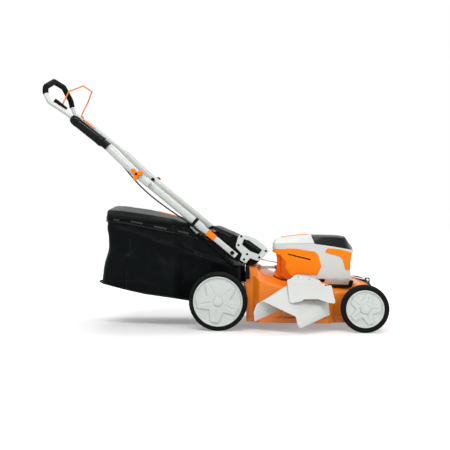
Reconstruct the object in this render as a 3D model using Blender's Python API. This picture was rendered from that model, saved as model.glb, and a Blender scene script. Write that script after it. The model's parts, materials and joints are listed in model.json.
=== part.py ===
"""Cordless lawn mower with a grass bag, a side discharge chute and a folding handle.

Metres, +X forward, +Y to the mower's left, +Z up. Pieces are laid out with the rear wheels' axis over x = 0 and the
ground at z = 0, and the root empty then carries them to the middle of the whole mower's box.
"""

import math

import bmesh
import bpy
from mathutils import Matrix, Vector

# Clearances
GAP = 0.0003
RUNNING = 0.0003
BORE_PLAY = 0.0010
SMOOTH_ANGLE = math.radians(35)

# Wheels
WHEELBASE = 0.612
REAR_RADIUS = 0.125
FRONT_RADIUS = 0.100
TYRE_WIDTH = 0.046
TYRE_HEIGHT = 0.0225
TREAD_CHAMFER = 0.006
TYRE_SIDES = 36
DISC_SIDES = 36
AXLE_RADIUS = 0.006
HUB_RADIUS = 0.020
HUB_DOME = 0.007
SPOKES = 5
SPOKE_ROOT = 0.030
SPOKE_TIP = 0.040
SPOKE_RISE = 0.004

# Height setting
REAR_CRANK = (0.101, 0.066)
FRONT_CRANK = (0.060, 0.0222)
CRANK_WALL = 0.006
REAR_ROD_ARM = 0.100
FRONT_ROD_ARM = 0.060
ROD_RADIUS = 0.004
ROD_PLAY = 0.003

# Deck
LIP_HEIGHT = 0.034
DECK_WALL = 0.003
DECK_HALF = 0.226
DECK_REAR_HALF = 0.195
DECK_FRONT_HALF = DECK_REAR_HALF - 0.007
DECK_LIP = 0.008
DECK_LIP_TALL = 0.020
DECK_REAR = 0.115
DECK_FRONT = WHEELBASE + 0.078
STEP_X = WHEELBASE - FRONT_RADIUS - 0.022
DECK_TOP = 0.205
TUNNEL_TOP = 0.266
TRACK = 2 * (DECK_REAR_HALF + 0.018 + CRANK_WALL + TYRE_WIDTH)
MOTOR_X = 0.340
MOTOR_HOLE = 0.016
BLADE_RADIUS = 0.210
BLADE_WIDTH = 0.046
BLADE_THICK = 0.0035
BLADE_HEIGHT = 0.054
MOUTH_HALF = 0.150
MOUTH_LOW = 0.150
MOUTH_HIGH = 0.255

# Motor and battery housing
HOOD_WALL = 0.003
HOOD_BASE = 0.2155
HOOD_HALF = 0.155
HOOD_TOP = 0.404
HOOD_REAR = 0.226
HOOD_FRONT = 0.578
PANEL_RISE = 0.004
LID_REAR = 0.395
LID_PIN_RADIUS = 0.0025
SHAFT_RADIUS = 0.006
STATOR_RADIUS = 0.055
STATOR_TALL = 0.038
BATTERY = (0.118, 0.110, 0.105)
BEAM_HALF = 0.146

# Rear console, its flap and the handle
CONSOLE_HALF = 0.156
CONSOLE_WALL = 0.006
FLAP_PIN = (0.070, 0.391)
FLAP_HALF = 0.148
FLAP_WALL = 0.003
PIN_RADIUS = 0.003
HANDLE_PIVOT = (0.054, 0.326)
HANDLE_SLOPE = math.radians(39.5)
FOLD_REACH = 0.5365
LOWER_Y = 0.168
LOWER_TALL = 0.033
LOWER_WIDE = 0.018
FLAT_TALL = 0.0246
FLAT_WIDE = 0.008
UPPER_Y = 0.190
UPPER_WIDE = 0.020
TUBE_RADIUS = 0.0115
GRIP_THICK = 0.003
BOLT_RADIUS = 0.004
KNOB_RADIUS = 0.030
KNOB_THICK = 0.014
SLEEVE_LONG = 0.043
SLEEVE_TALL = 0.027
SLEEVE_WIDE = 0.016
CONTROL_LONG = 0.190
CONTROL_TALL = 0.046
CONTROL_WIDE = 0.048
BAIL_HALF = 0.146
BAIL_RADIUS = 0.003
CABLE_RADIUS = 0.003
CONDUIT_RADIUS = 0.0065
CONDUIT_AT = (-0.100, 0.2605)
CONDUIT_REAR = 0.175
CONDUIT_FRONT = 0.2435

# Bag
BAG_HALF = 0.205
BAG_REAR = -0.518
BAG_NECK_HALF = 0.143
BAG_MOUTH = 0.090
BAG_WALL = 0.002
BAG_BASE_THICK = 0.004
COVER_RIM = 0.010
FRAME_RADIUS = 0.004

# Side flap and chute
SIDE_X = STEP_X - 0.110
SIDE_PIN = (-(DECK_HALF + 0.0085), 0.196)
SIDE_FLAP_LEAN = math.radians(40)
SIDE_FLAP_THICK = 0.003
SIDE_EARS = (SIDE_X - 0.077, SIDE_X + 0.068)
SIDE_EAR_WIDE = 0.009
SIDE_EAR_RADIUS = 0.005
CHUTE_THICK = 0.0025


def start_clean():
    for item in list(bpy.data.objects):
        bpy.data.objects.remove(item)


start_clean()
ROOT = bpy.data.objects.new("mower_root", None)
bpy.context.collection.objects.link(ROOT)


def material(name, colour, roughness, metallic=0.0, alpha=1.0):
    made = bpy.data.materials.new(name)
    made.use_nodes = True
    shader = made.node_tree.nodes["Principled BSDF"]
    shader.inputs["Base Color"].default_value = (*colour, 1.0)
    shader.inputs["Roughness"].default_value = roughness
    shader.inputs["Metallic"].default_value = metallic
    shader.inputs["Alpha"].default_value = alpha
    made.diffuse_color = (*colour, alpha)
    return made


ORANGE_PAINT = material("orange_paint", (0.80, 0.19, 0.01), 0.35)
ORANGE_PLASTIC = material("orange_plastic", (1.0, 0.24, 0.01), 0.4)
GREY_PLASTIC = material("grey_plastic", (0.72, 0.73, 0.70), 0.45)
WHITE_PLASTIC = material("white_plastic", (0.66, 0.69, 0.68), 0.5)
BLACK_PLASTIC = material("black_plastic", (0.012, 0.013, 0.013), 0.4)
GLOSS_BLACK = material("gloss_black", (0.008, 0.009, 0.010), 0.15)
TINTED = material("tinted_window", (0.01, 0.012, 0.012), 0.08, alpha=0.9)
RUBBER = material("rubber", (0.01, 0.011, 0.012), 0.8)
FOAM = material("foam", (0.05, 0.055, 0.055), 0.85)
TUBE_PAINT = material("tube_paint", (0.70, 0.72, 0.71), 0.35)
STEEL = material("steel", (0.45, 0.45, 0.46), 0.35, 1.0)
DARK_STEEL = material("dark_steel", (0.03, 0.03, 0.03), 0.45, 0.6)
COPPER = material("copper", (0.60, 0.25, 0.10), 0.4, 1.0)
FABRIC = material("bag_fabric", (0.010, 0.014, 0.014), 0.85)


def fillet(points, radius, steps=3, closed=True):
    """Rounds the corners of a polygon or polyline with short curves that start a radius away from each corner."""
    corners = [Vector(p) for p in points]
    rounded = []
    for i, corner in enumerate(corners):
        if not closed and i in (0, len(corners) - 1):
            rounded.append(corner)
            continue
        before = corners[i - 1] - corner
        after = corners[(i + 1) % len(corners)] - corner
        reach = min(radius, 0.45 * before.length, 0.45 * after.length)
        start = corner + before.normalized() * reach
        end = corner + after.normalized() * reach
        for step in range(steps + 1):
            t = step / steps
            rounded.append(start * (1 - t) ** 2 + corner * 2 * t * (1 - t) + end * t ** 2)
    return rounded


def loft(rings, closed=False, strips=False):
    """Skins rings of equal point counts, and caps the two ends unless the rings close on themselves. With strips, a
    cap is a row of flat quads between mirrored points, for a ring whose first half mirrors its second."""
    bm = bmesh.new()
    rows = [[bm.verts.new(point) for point in ring] for ring in rings]
    count = len(rows[0])
    spans = len(rows) if closed else len(rows) - 1
    for i in range(spans):
        low, high = rows[i], rows[(i + 1) % len(rows)]
        for j in range(count):
            bm.faces.new((low[j], low[(j + 1) % count], high[(j + 1) % count], high[j]))
    for row in () if closed else (rows[0], rows[-1]):
        if strips:
            for j in range(count // 2 - 1):
                bm.faces.new((row[j], row[j + 1], row[count - 2 - j], row[count - 1 - j]))
        else:
            bm.faces.new(row)
    bmesh.ops.recalc_face_normals(bm, faces=bm.faces)
    return bm


def on_plane(plane, a, b, depth):
    """A point from two coordinates in a named plane and a depth along the third axis."""
    if plane == "XZ":
        return Vector((a, depth, b))
    if plane == "XY":
        return Vector((a, b, depth))
    return Vector((depth, a, b))


def prism(outline, plane, start, end):
    """An outline in a plane, given thickness along that plane's normal."""
    return loft([[on_plane(plane, a, b, depth) for a, b in outline] for depth in (start, end)])


def box(low, high):
    return prism([(low[0], low[1]), (high[0], low[1]), (high[0], high[1]), (low[0], high[1])], "XY", low[2], high[2])


def circle(centre, radius, sides=16, turn=0.0):
    step = 2 * math.pi / sides
    return [(centre[0] + radius * math.cos(i * step + turn), centre[1] + radius * math.sin(i * step + turn))
            for i in range(sides)]


def rod(plane, centre, radius, start, end, sides=16):
    return prism(circle(centre, radius, sides), plane, start, end)


def turned(profile, sides, closed):
    """Spins a profile of (radius, height) points about the Z axis. An open profile starts and ends on the axis."""
    bm = bmesh.new()
    verts = [bm.verts.new((radius, 0.0, height)) for radius, height in profile]
    edges = [bm.edges.new(pair) for pair in zip(verts, verts[1:])]
    if closed:
        edges.append(bm.edges.new((verts[-1], verts[0])))
    bmesh.ops.spin(bm, geom=verts + edges, cent=(0, 0, 0), axis=(0, 0, 1), angle=2 * math.pi, steps=sides,
                   use_merge=True)
    bmesh.ops.remove_doubles(bm, verts=bm.verts, dist=1e-6)
    bmesh.ops.recalc_face_normals(bm, faces=bm.faces)
    return bm


def moved(bm, matrix):
    bmesh.ops.transform(bm, matrix=matrix, verts=bm.verts)
    if matrix.determinant() < 0:
        bmesh.ops.reverse_faces(bm, faces=bm.faces)
    return bm


def stand_in(bm):
    mesh = bpy.data.meshes.new("tool")
    bm.to_mesh(mesh)
    bm.free()
    item = bpy.data.objects.new("tool", mesh)
    bpy.context.collection.objects.link(item)
    return item


def boolean(solid, tool, operation):
    target = stand_in(solid)
    other = stand_in(tool)
    modifier = target.modifiers.new("shape", "BOOLEAN")
    modifier.operation = operation
    modifier.solver = "EXACT"
    modifier.object = other
    done = target.evaluated_get(bpy.context.evaluated_depsgraph_get())
    bm = bmesh.new()
    bm.from_mesh(done.to_mesh())
    done.to_mesh_clear()
    for item in (target, other):
        bpy.data.objects.remove(item)
    return bm


def cut(solid, *tools):
    for tool in tools:
        solid = boolean(solid, tool, "DIFFERENCE")
    return solid


def join(solid, *others):
    for other in others:
        solid = boolean(solid, other, "UNION")
    return solid


def common(solid, other):
    return boolean(solid, other, "INTERSECT")


def tube_rings(path, sizes, sides=12, turn=0.0):
    """Rings of an oval tube along a path. Each size is (half height, half width); the frame turns as little as
    it can from one ring to the next."""
    points = [Vector(p) for p in path]
    across = None
    rings = []
    for i, point in enumerate(points):
        before = points[max(i - 1, 0)]
        after = points[min(i + 1, len(points) - 1)]
        along = (after - before).normalized()
        if across is None:
            across = along.cross(Vector((0, 0, 1)))
            if across.length < 0.1:
                across = Vector((0, 1, 0))
        across = (across - along * across.dot(along)).normalized()
        up = across.cross(along)
        tall, wide = sizes[i] if isinstance(sizes, list) else sizes
        ring = []
        for j in range(sides):
            angle = 2 * math.pi * j / sides + turn
            ring.append(point + across * wide * math.cos(angle) + up * tall * math.sin(angle))
        rings.append(ring)
    return rings


def bar(path, radius, sides=10):
    return loft(tube_rings(path, (radius, radius), sides))


def add(name, bm, finish, pivot=(0.0, 0.0, 0.0)):
    """Turns a mesh in layout coordinates into a named piece whose origin is at the pivot."""
    bmesh.ops.translate(bm, verts=bm.verts, vec=-Vector(pivot))
    bmesh.ops.dissolve_degenerate(bm, dist=1e-6, edges=bm.edges)
    bmesh.ops.recalc_face_normals(bm, faces=bm.faces)
    mesh = bpy.data.meshes.new(name)
    bm.to_mesh(mesh)
    bm.free()
    mesh.materials.append(finish)
    mesh.shade_smooth()
    mesh.set_sharp_from_angle(angle=SMOOTH_ANGLE)
    piece = bpy.data.objects.new(name, mesh)
    bpy.context.collection.objects.link(piece)
    piece.parent = ROOT
    piece.location = pivot
    return piece


SIDES = (("right", -1), ("left", 1))


def axle_height(radius):
    """A tyre of flat facets stands on one of them, so its axis is a little lower than its radius."""
    return radius * math.cos(math.pi / TYRE_SIDES)


REAR_AXLE = (0.0, axle_height(REAR_RADIUS))
FRONT_AXLE = (WHEELBASE, axle_height(FRONT_RADIUS))
REAR_PIVOT = (REAR_AXLE[0] + REAR_CRANK[0], REAR_AXLE[1] + REAR_CRANK[1])
FRONT_PIVOT = (FRONT_AXLE[0] + FRONT_CRANK[0], FRONT_AXLE[1] + FRONT_CRANK[1])
WHEEL_FACE = TRACK / 2
WHEEL_INNER = WHEEL_FACE - TYRE_WIDTH


def wheel_axes(centre, side):
    """Places a turned piece, built about Z with its outer face up, on a wheel's axis."""
    face_out = Matrix.Rotation(-side * math.pi / 2, 4, "X")
    middle = side * (WHEEL_FACE - TYRE_WIDTH / 2)
    return Matrix.Translation((centre[0], middle, centre[1])) @ face_out


def tyre(radius):
    half = TYRE_WIDTH / 2
    bead = radius - TYRE_HEIGHT
    profile = [(bead, -half), (radius - TREAD_CHAMFER, -half), (radius, -half + TREAD_CHAMFER),
               (radius, half - TREAD_CHAMFER), (radius - TREAD_CHAMFER, half), (bead, half)]
    facet_turn = math.pi / 2 + math.pi / TYRE_SIDES
    return moved(turned(profile, TYRE_SIDES, closed=True), Matrix.Rotation(facet_turn, 4, "Z"))


def wheel_disc(radius):
    face = TYRE_WIDTH / 2
    rim = (radius - TYRE_HEIGHT) * math.cos(math.pi / TYRE_SIDES) - GAP
    dish = face - 0.006
    back = face - 0.011
    bore = AXLE_RADIUS + RUNNING
    bore_end = face - 0.014
    profile = [(0, face + HUB_DOME), (HUB_RADIUS * 0.7, face + HUB_DOME * 0.6), (HUB_RADIUS, dish),
               (rim - 0.008, dish), (rim - 0.004, face), (rim, face - 0.001), (rim, -face), (rim - 0.006, -face),
               (rim - 0.010, back), (HUB_RADIUS * 0.8, back), (HUB_RADIUS * 0.8, -face), (bore, -face),
               (bore, bore_end), (0, bore_end)]
    disc = turned(profile, DISC_SIDES, closed=False)
    arms = []
    for k in range(SPOKES):
        turn = math.radians(90) + 2 * math.pi * k / SPOKES
        out = Vector((math.cos(turn), math.sin(turn)))
        side = Vector((-out.y, out.x))
        for reach, half in ((HUB_RADIUS + 0.004, -SPOKE_ROOT / 2), (rim - 0.010, -SPOKE_TIP / 2),
                            (rim - 0.010, SPOKE_TIP / 2), (HUB_RADIUS + 0.004, SPOKE_ROOT / 2)):
            arms.append(out * reach + side * half * (0.62 if reach < rim / 2 else 1.0))
    return join(disc, prism([tuple(p) for p in arms], "XY", dish - 0.002, dish + SPOKE_RISE))


def make_wheels():
    for end, centre, radius in (("rear", REAR_AXLE, REAR_RADIUS), ("front", FRONT_AXLE, FRONT_RADIUS)):
        for word, side in SIDES:
            axes = wheel_axes(centre, side)
            pivot = axes.translation
            add(f"{end}_tyre_{word}", moved(tyre(radius), axes), RUBBER, pivot)
            add(f"{end}_wheel_disc_{word}", moved(wheel_disc(radius), axes), WHITE_PLASTIC, pivot)


ARM_INNER = DECK_REAR_HALF + 0.004
ARM_OUTER = ARM_INNER + CRANK_WALL
AXLE_END = WHEEL_FACE - 0.016


def arm_plate(centre, pivot, extra, side):
    """A crank arm: a plate from the wheel's axis to its pivot, with an upward arm where the tie rod is."""
    outline = [(centre[0] - 0.012, centre[1] - 0.010), (centre[0] + 0.012, centre[1] - 0.012),
               (pivot[0] + 0.012, pivot[1] - 0.008), (pivot[0] + 0.010, pivot[1] + 0.012 + extra),
               (pivot[0] - 0.010, pivot[1] + 0.012 + extra), (pivot[0] - 0.014, pivot[1] + 0.010),
               (centre[0] - 0.014, centre[1] + 0.010)]
    plate = prism(fillet(outline, 0.008, 2), "XZ", side * ARM_INNER, side * ARM_OUTER)
    hole = rod("XZ", pivot, BOLT_RADIUS + RUNNING, side * (ARM_INNER - 0.01), side * (ARM_OUTER + 0.01))
    return cut(plate, hole)


def make_rear_axle():
    axle = rod("XZ", REAR_AXLE, AXLE_RADIUS, -AXLE_END, AXLE_END)
    for word, side in SIDES:
        extra = REAR_ROD_ARM if side > 0 else 0.0
        axle = join(axle, arm_plate(REAR_AXLE, REAR_PIVOT, extra, side))
    pin_hole = rod("XZ", rod_end("rear"), ROD_RADIUS + RUNNING, ARM_INNER - 0.01, ARM_OUTER + 0.01)
    add("rear_axle", cut(axle, pin_hole), DARK_STEEL, (REAR_PIVOT[0], 0.0, REAR_PIVOT[1]))


def rod_end(end):
    if end == "rear":
        return (REAR_PIVOT[0], REAR_PIVOT[1] + REAR_ROD_ARM)
    return (FRONT_PIVOT[0], FRONT_PIVOT[1] + FRONT_ROD_ARM)


def make_front_axle():
    """One bent bar: through the deck's nose, back along both sides and out to the two wheels."""
    arm_y = (ARM_INNER + ARM_OUTER) / 2
    half = [(FRONT_AXLE[0], AXLE_END, FRONT_AXLE[1]), (FRONT_AXLE[0], arm_y, FRONT_AXLE[1]),
            (FRONT_PIVOT[0], arm_y, FRONT_PIVOT[1])]
    path = fillet([(x, -y, z) for x, y, z in half] + list(reversed(half)), 0.010, 3, closed=False)
    axle = bar(path, AXLE_RADIUS)
    half = 0.012
    post = [(FRONT_PIVOT[0] - half, FRONT_PIVOT[1] - 0.003), (FRONT_PIVOT[0] + half, FRONT_PIVOT[1] - 0.003),
            (FRONT_PIVOT[0] + half, FRONT_PIVOT[1] + FRONT_ROD_ARM + half),
            (FRONT_PIVOT[0] - half, FRONT_PIVOT[1] + FRONT_ROD_ARM + half)]
    axle = join(axle, prism(fillet(post, 0.006, 2), "XZ", ARM_INNER, ARM_OUTER))
    hole = rod("XZ", rod_end("front"), ROD_RADIUS + ROD_PLAY, ARM_INNER - 0.01, ARM_OUTER + 0.01, 12)
    add("front_axle", cut(axle, hole), DARK_STEEL, (FRONT_PIVOT[0], 0.0, FRONT_PIVOT[1]))


def make_tie_rod():
    """Runs along the left side between the two cranks. Its front pin sits in a wide hole, its rear pin in a close
    one."""
    rear, front = rod_end("rear"), rod_end("front")
    rod_y = ARM_OUTER + GAP + ROD_RADIUS
    path = fillet([(rear[0], ARM_INNER, rear[1]), (rear[0], rod_y, rear[1]), (front[0], rod_y, front[1]),
                   (front[0], ARM_INNER - 0.002, front[1])], 0.006, 3, closed=False)
    add("height_tie_rod", bar(path, ROD_RADIUS - GAP, 8), STEEL, (rear[0], 0.0, rear[1]))


def make_crank_bolts():
    for word, side in SIDES:
        head = rod("XZ", REAR_PIVOT, 0.008, side * (ARM_OUTER + GAP), side * (ARM_OUTER + 0.005), 6)
        shank = rod("XZ", REAR_PIVOT, BOLT_RADIUS, side * (DECK_REAR_HALF - 0.012), side * (ARM_OUTER + 0.002), 12)
        add(f"crank_bolt_{word}", join(head, shank), STEEL, (REAR_PIVOT[0], side * ARM_OUTER, REAR_PIVOT[1]))


DECK_STATIONS = (
    # x, half width, shoulder height, top height, top half width
    (DECK_REAR, DECK_REAR_HALF, 0.226, TUNNEL_TOP, 0.165),
    (0.142, DECK_REAR_HALF + 0.001, 0.229, TUNNEL_TOP, 0.165),
    (0.178, DECK_HALF, 0.213, 0.244, 0.168),
    (0.230, DECK_HALF, 0.193, 0.222, 0.170),
    (0.280, DECK_HALF, 0.180, DECK_TOP, 0.170),
    (STEP_X - 0.032, DECK_HALF, 0.178, DECK_TOP - 0.004, 0.168),
    (STEP_X - 0.018, DECK_HALF - 0.013, 0.171, DECK_TOP - 0.019, 0.162),
    (STEP_X, DECK_REAR_HALF, 0.168, DECK_TOP - 0.021, 0.158),
    (WHEELBASE - 0.054, DECK_FRONT_HALF, 0.162, DECK_TOP - 0.025, 0.154),
    (WHEELBASE - 0.032, DECK_FRONT_HALF, 0.164, DECK_TOP - 0.002, 0.148),
    (WHEELBASE + 0.026, DECK_FRONT_HALF, 0.154, DECK_TOP - 0.024, 0.144),
    (WHEELBASE + 0.050, DECK_FRONT_HALF, 0.144, DECK_TOP - 0.042, 0.142),
    (DECK_FRONT, DECK_FRONT_HALF - 0.020, 0.125, 0.140, 0.136),
)


def deck_ring(x, half, shoulder, top, top_half, wall, floor):
    """One cross-section of the deck: skirt lip, side wall, sloped shoulder and top."""
    side = half - wall
    lip = half + DECK_LIP - wall
    right = [(lip, floor), (lip, LIP_HEIGHT + DECK_LIP_TALL - wall), (side, LIP_HEIGHT + DECK_LIP_TALL + 0.004 - wall),
             (side, shoulder - wall), (top_half - wall / 2, top - wall)]
    ring = [(-y, z) for y, z in right] + [(y, z) for y, z in reversed(right)]
    return [Vector((x, y, z)) for y, z in ring]


def make_deck():
    outer = loft([deck_ring(*station, 0.0, LIP_HEIGHT) for station in DECK_STATIONS])
    inner_stations = [(DECK_REAR + DECK_WALL, *DECK_STATIONS[0][1:]), *DECK_STATIONS[1:-1],
                      (DECK_FRONT - DECK_WALL, *DECK_STATIONS[-1][1:])]
    inner = loft([deck_ring(*station, DECK_WALL, LIP_HEIGHT - 0.02) for station in inner_stations])
    deck = cut(outer, inner)
    rear_door = box((DECK_REAR - 0.02, -MOUTH_HALF, MOUTH_LOW), (DECK_REAR + 0.02, MOUTH_HALF, MOUTH_HIGH))
    door = ((-0.118, 0.080), (-0.118, 0.168), (-0.080, 0.176), (0.060, 0.150), (0.060, 0.080))
    side_door = prism([(SIDE_X + x, z) for x, z in door], "XZ", -DECK_HALF - 0.02, -DECK_HALF + 0.02)
    shaft_hole = rod("XY", (MOTOR_X, 0.0), MOTOR_HOLE, DECK_TOP - 0.03, DECK_TOP + 0.03, 24)
    axle_hole = rod("XZ", FRONT_PIVOT, AXLE_RADIUS + RUNNING, -0.3, 0.3, 16)
    deck = cut(deck, rear_door, side_door, shaft_hole, axle_hole)
    for word, side in SIDES:
        boss = rod("XZ", REAR_PIVOT, 0.010, side * (DECK_REAR_HALF - 0.012), side * (ARM_INNER - GAP), 16)
        bridge = box((REAR_PIVOT[0] - 0.008, DECK_REAR_HALF - 0.012, REAR_PIVOT[1] - 0.012),
                     (DECK_REAR + 0.010, DECK_REAR_HALF - 0.0005, REAR_PIVOT[1] + 0.012))
        if side < 0:
            bridge = moved(bridge, Matrix.Scale(-1, 4, (0, 1, 0)))
        bolt_hole = rod("XZ", REAR_PIVOT, BOLT_RADIUS + GAP, side * 0.15, side * 0.25, 12)
        deck = cut(join(deck, bridge, boss), bolt_hole)
    deck = join(deck, rod("YZ", CONDUIT_AT, CONDUIT_RADIUS + 0.003, CONDUIT_REAR - 0.013, CONDUIT_REAR - GAP))
    for x in SIDE_EARS:
        eye = rod("YZ", SIDE_PIN, SIDE_EAR_RADIUS, x, x + SIDE_EAR_WIDE, 12)
        root = -DECK_HALF + 0.026
        neck = prism([(SIDE_PIN[0], SIDE_PIN[1] - SIDE_EAR_RADIUS * 0.9), (-DECK_HALF + 0.002, 0.176), (root, 0.184),
                      (root, 0.194), (SIDE_PIN[0], SIDE_PIN[1] + SIDE_EAR_RADIUS * 0.9)], "YZ", x, x + SIDE_EAR_WIDE)
        deck = join(deck, neck, eye)
    pin_hole = rod("YZ", SIDE_PIN, PIN_RADIUS + GAP, SIDE_X - 0.09, SIDE_X + 0.09, 12)
    add("deck", cut(deck, pin_hole), ORANGE_PAINT)


def make_side_flap():
    """A sprung flap over the side opening. Its outline is drawn as seen from the side, then leaned outwards."""
    seen = ((-0.090, 0.215), (-0.072, 0.221), (-0.060, 0.234), (-0.039, 0.235), (0.003, 0.228), (0.045, 0.216),
            (0.057, 0.198), (0.070, 0.192), (0.095, 0.196), (0.110, 0.128), (0.106, 0.120), (0.084, 0.126),
            (0.059, 0.135), (0.037, 0.142), (-0.022, 0.141), (-0.029, 0.134), (-0.069, 0.125), (-0.080, 0.132))
    outline = [(SIDE_X + x, z) for x, z in seen]
    slant = math.tan(SIDE_FLAP_LEAN)
    skin = SIDE_PIN[0] - 0.0075

    def leaned(depth):
        return [Vector((x, skin - depth - (SIDE_PIN[1] - z) * slant, z)) for x, z in fillet(outline, 0.006, 2)]

    flap = loft([leaned(0.0), leaned(SIDE_FLAP_THICK / math.cos(SIDE_FLAP_LEAN))])
    ends = (SIDE_X - 0.0675, SIDE_X + 0.0675)
    barrel = rod("YZ", SIDE_PIN, PIN_RADIUS + GAP + 0.0025, *ends, 12)
    web = prism([(SIDE_PIN[0] - 0.0035, SIDE_PIN[1] + 0.004), (SIDE_PIN[0] - 0.0035, SIDE_PIN[1] - 0.004),
                 (SIDE_PIN[0] - 0.0095, SIDE_PIN[1] - 0.004), (SIDE_PIN[0] - 0.0095, SIDE_PIN[1] + 0.004)],
                "YZ", *ends)
    bore = rod("YZ", SIDE_PIN, PIN_RADIUS + GAP, SIDE_X - 0.08, SIDE_X + 0.08, 12)
    add("side_flap", cut(join(flap, barrel, web), bore), GREY_PLASTIC, (SIDE_X, *SIDE_PIN))
    pin = rod("YZ", SIDE_PIN, PIN_RADIUS, SIDE_X - 0.079, SIDE_X + 0.079, 12)
    add("side_flap_pin", pin, STEEL, (SIDE_X, *SIDE_PIN))


def make_chute():
    """A folded sheet: a sloping roof with a wing down each side, open towards the rear and outwards."""
    wall_y = -(DECK_HALF + DECK_LIP + 0.004)
    mouth_y = -(DECK_HALF + 0.109)
    roof = ((-0.095, wall_y, 0.192), (-0.187, mouth_y, 0.137), (-0.054, mouth_y, 0.075), (0.035, wall_y, 0.133))
    left_low = ((-0.134, wall_y, 0.083), (-0.222, mouth_y, 0.054), (-0.225, mouth_y, 0.092), (-0.212, mouth_y, 0.125))
    right_low = ((0.082, wall_y, 0.128), (0.088, wall_y, 0.071), (-0.035, mouth_y, 0.028), (-0.047, mouth_y, 0.041))
    bm = bmesh.new()
    top, left, right = [[bm.verts.new((SIDE_X + x, y, z)) for x, y, z in side] for side in (roof, left_low, right_low)]
    bm.faces.new(top)
    bm.faces.new((top[1], top[0], left[0], left[1], left[2], left[3]))
    bm.faces.new((top[3], top[2], right[3], right[2], right[1], right[0]))
    bmesh.ops.triangulate(bm, faces=bm.faces)
    bmesh.ops.recalc_face_normals(bm, faces=bm.faces)
    bmesh.ops.solidify(bm, geom=bm.faces, thickness=CHUTE_THICK)
    add("side_chute", bm, GREY_PLASTIC)


def hood_ring(x, half, top_half, shoulder, top, grow):
    base = HOOD_BASE + min(grow, 0.0)
    right = [(half + grow, base), (half + grow, shoulder), (top_half + grow, top - 0.010 + grow),
             (top_half - 0.014 + grow, top + grow)]
    ring = [(-y, z) for y, z in right] + [(y, z) for y, z in reversed(right)]
    return [Vector((x, y, z)) for y, z in ring]


HOOD_STATIONS = (
    # x, half width, top half width, shoulder height, top height
    (HOOD_REAR, 0.122, 0.098, 0.350, 0.370),
    (0.240, 0.140, 0.106, 0.360, 0.386),
    (0.300, HOOD_HALF, 0.114, 0.367, HOOD_TOP - 0.008),
    (0.390, HOOD_HALF, 0.114, 0.366, HOOD_TOP),
    (0.500, HOOD_HALF - 0.006, 0.108, 0.353, HOOD_TOP - 0.002),
    (0.538, HOOD_HALF - 0.012, 0.100, 0.346, HOOD_TOP - 0.007),
    (0.562, HOOD_HALF - 0.020, 0.094, 0.340, 0.366),
    (HOOD_FRONT, HOOD_HALF - 0.030, 0.090, 0.334, 0.345),
)


def hood_block(grow):
    """The housing's whole outer shape, grown or shrunk by a wall. Its front is drawn in below the lid."""
    stations = [list(station) for station in HOOD_STATIONS]
    stations[0][0] -= grow
    stations[-1][0] += grow
    front = HOOD_FRONT + grow
    brow = 0.3335 + min(grow, 0.0)
    hollow = prism([(front + 0.02, brow), (front - 0.002, brow), (front - 0.012, 0.318), (front - 0.016, 0.300),
                    (front - 0.016, 0.255), (front - 0.012, 0.224), (front - 0.013, 0.19), (front + 0.02, 0.19)],
                   "XZ", -0.2, 0.2)
    return cut(loft([hood_ring(*station, grow) for station in stations]), hollow)


def lid_region(inset):
    """The region of the lid, seen from the side: above a line that falls towards the front."""
    line = [(LID_REAR + inset, 0.5), (LID_REAR + inset, 0.3655 + inset), (0.408, 0.3655 + inset),
            (0.491, 0.3535 + inset), (HOOD_FRONT + 0.02, 0.3335 + inset), (HOOD_FRONT + 0.02, 0.5)]
    return prism(line, "XZ", -0.2, 0.2)


def lid_groove():
    return rod("XZ", (LID_REAR, HOOD_TOP + 0.0005), LID_PIN_RADIUS + GAP, -0.092, 0.092, 12)


COWL_FRONT = 0.285
COWL_TOP = 0.342


def make_hood():
    inner = hood_block(-HOOD_WALL)
    open_floor = box((HOOD_REAR + 0.01, -HOOD_HALF + 0.03, HOOD_BASE - 0.01),
                     (HOOD_FRONT - 0.02, HOOD_HALF - 0.03, HOOD_BASE + 0.01))
    under_rear = box((HOOD_REAR - 0.02, -0.2, HOOD_BASE - 0.01), (COWL_FRONT, 0.2, COWL_TOP))
    housing = cut(hood_block(0.0), inner, open_floor, under_rear, lid_region(0.0), lid_groove())
    add("motor_housing", housing, GREY_PLASTIC)
    lid = cut(common(hood_block(0.0), lid_region(GAP)), hood_block(-HOOD_WALL), lid_groove())
    add("battery_lid", lid, TINTED, (LID_REAR, 0.0, HOOD_TOP + 0.0005))
    pin = rod("XZ", (LID_REAR, HOOD_TOP + 0.0005), LID_PIN_RADIUS, -0.0915, 0.0915, 12)
    add("lid_hinge_pin", pin, STEEL, (LID_REAR, 0.0, HOOD_TOP + 0.0005))


def make_cowl():
    """The orange cover of the motor below the rear of the grey housing."""
    outline = [(0.228, COWL_TOP - GAP), (0.232, 0.334), (0.243, 0.320), (0.245, 0.250), (0.238, 0.240),
               (0.238, 0.235), (0.262, 0.2235), (COWL_FRONT - GAP, HOOD_BASE), (COWL_FRONT - GAP, COWL_TOP - GAP)]
    cowl = common(hood_block(0.0), prism(outline, "XZ", -0.2, 0.2))
    hollow = box((0.250, -HOOD_HALF + 0.030, 0.20), (0.32, HOOD_HALF - 0.030, COWL_TOP - 0.006))
    socket = rod("YZ", CONDUIT_AT, CONDUIT_RADIUS + GAP, HOOD_REAR, 0.252)
    add("motor_cowl", cut(cowl, hollow, socket), ORANGE_PLASTIC)


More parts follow.
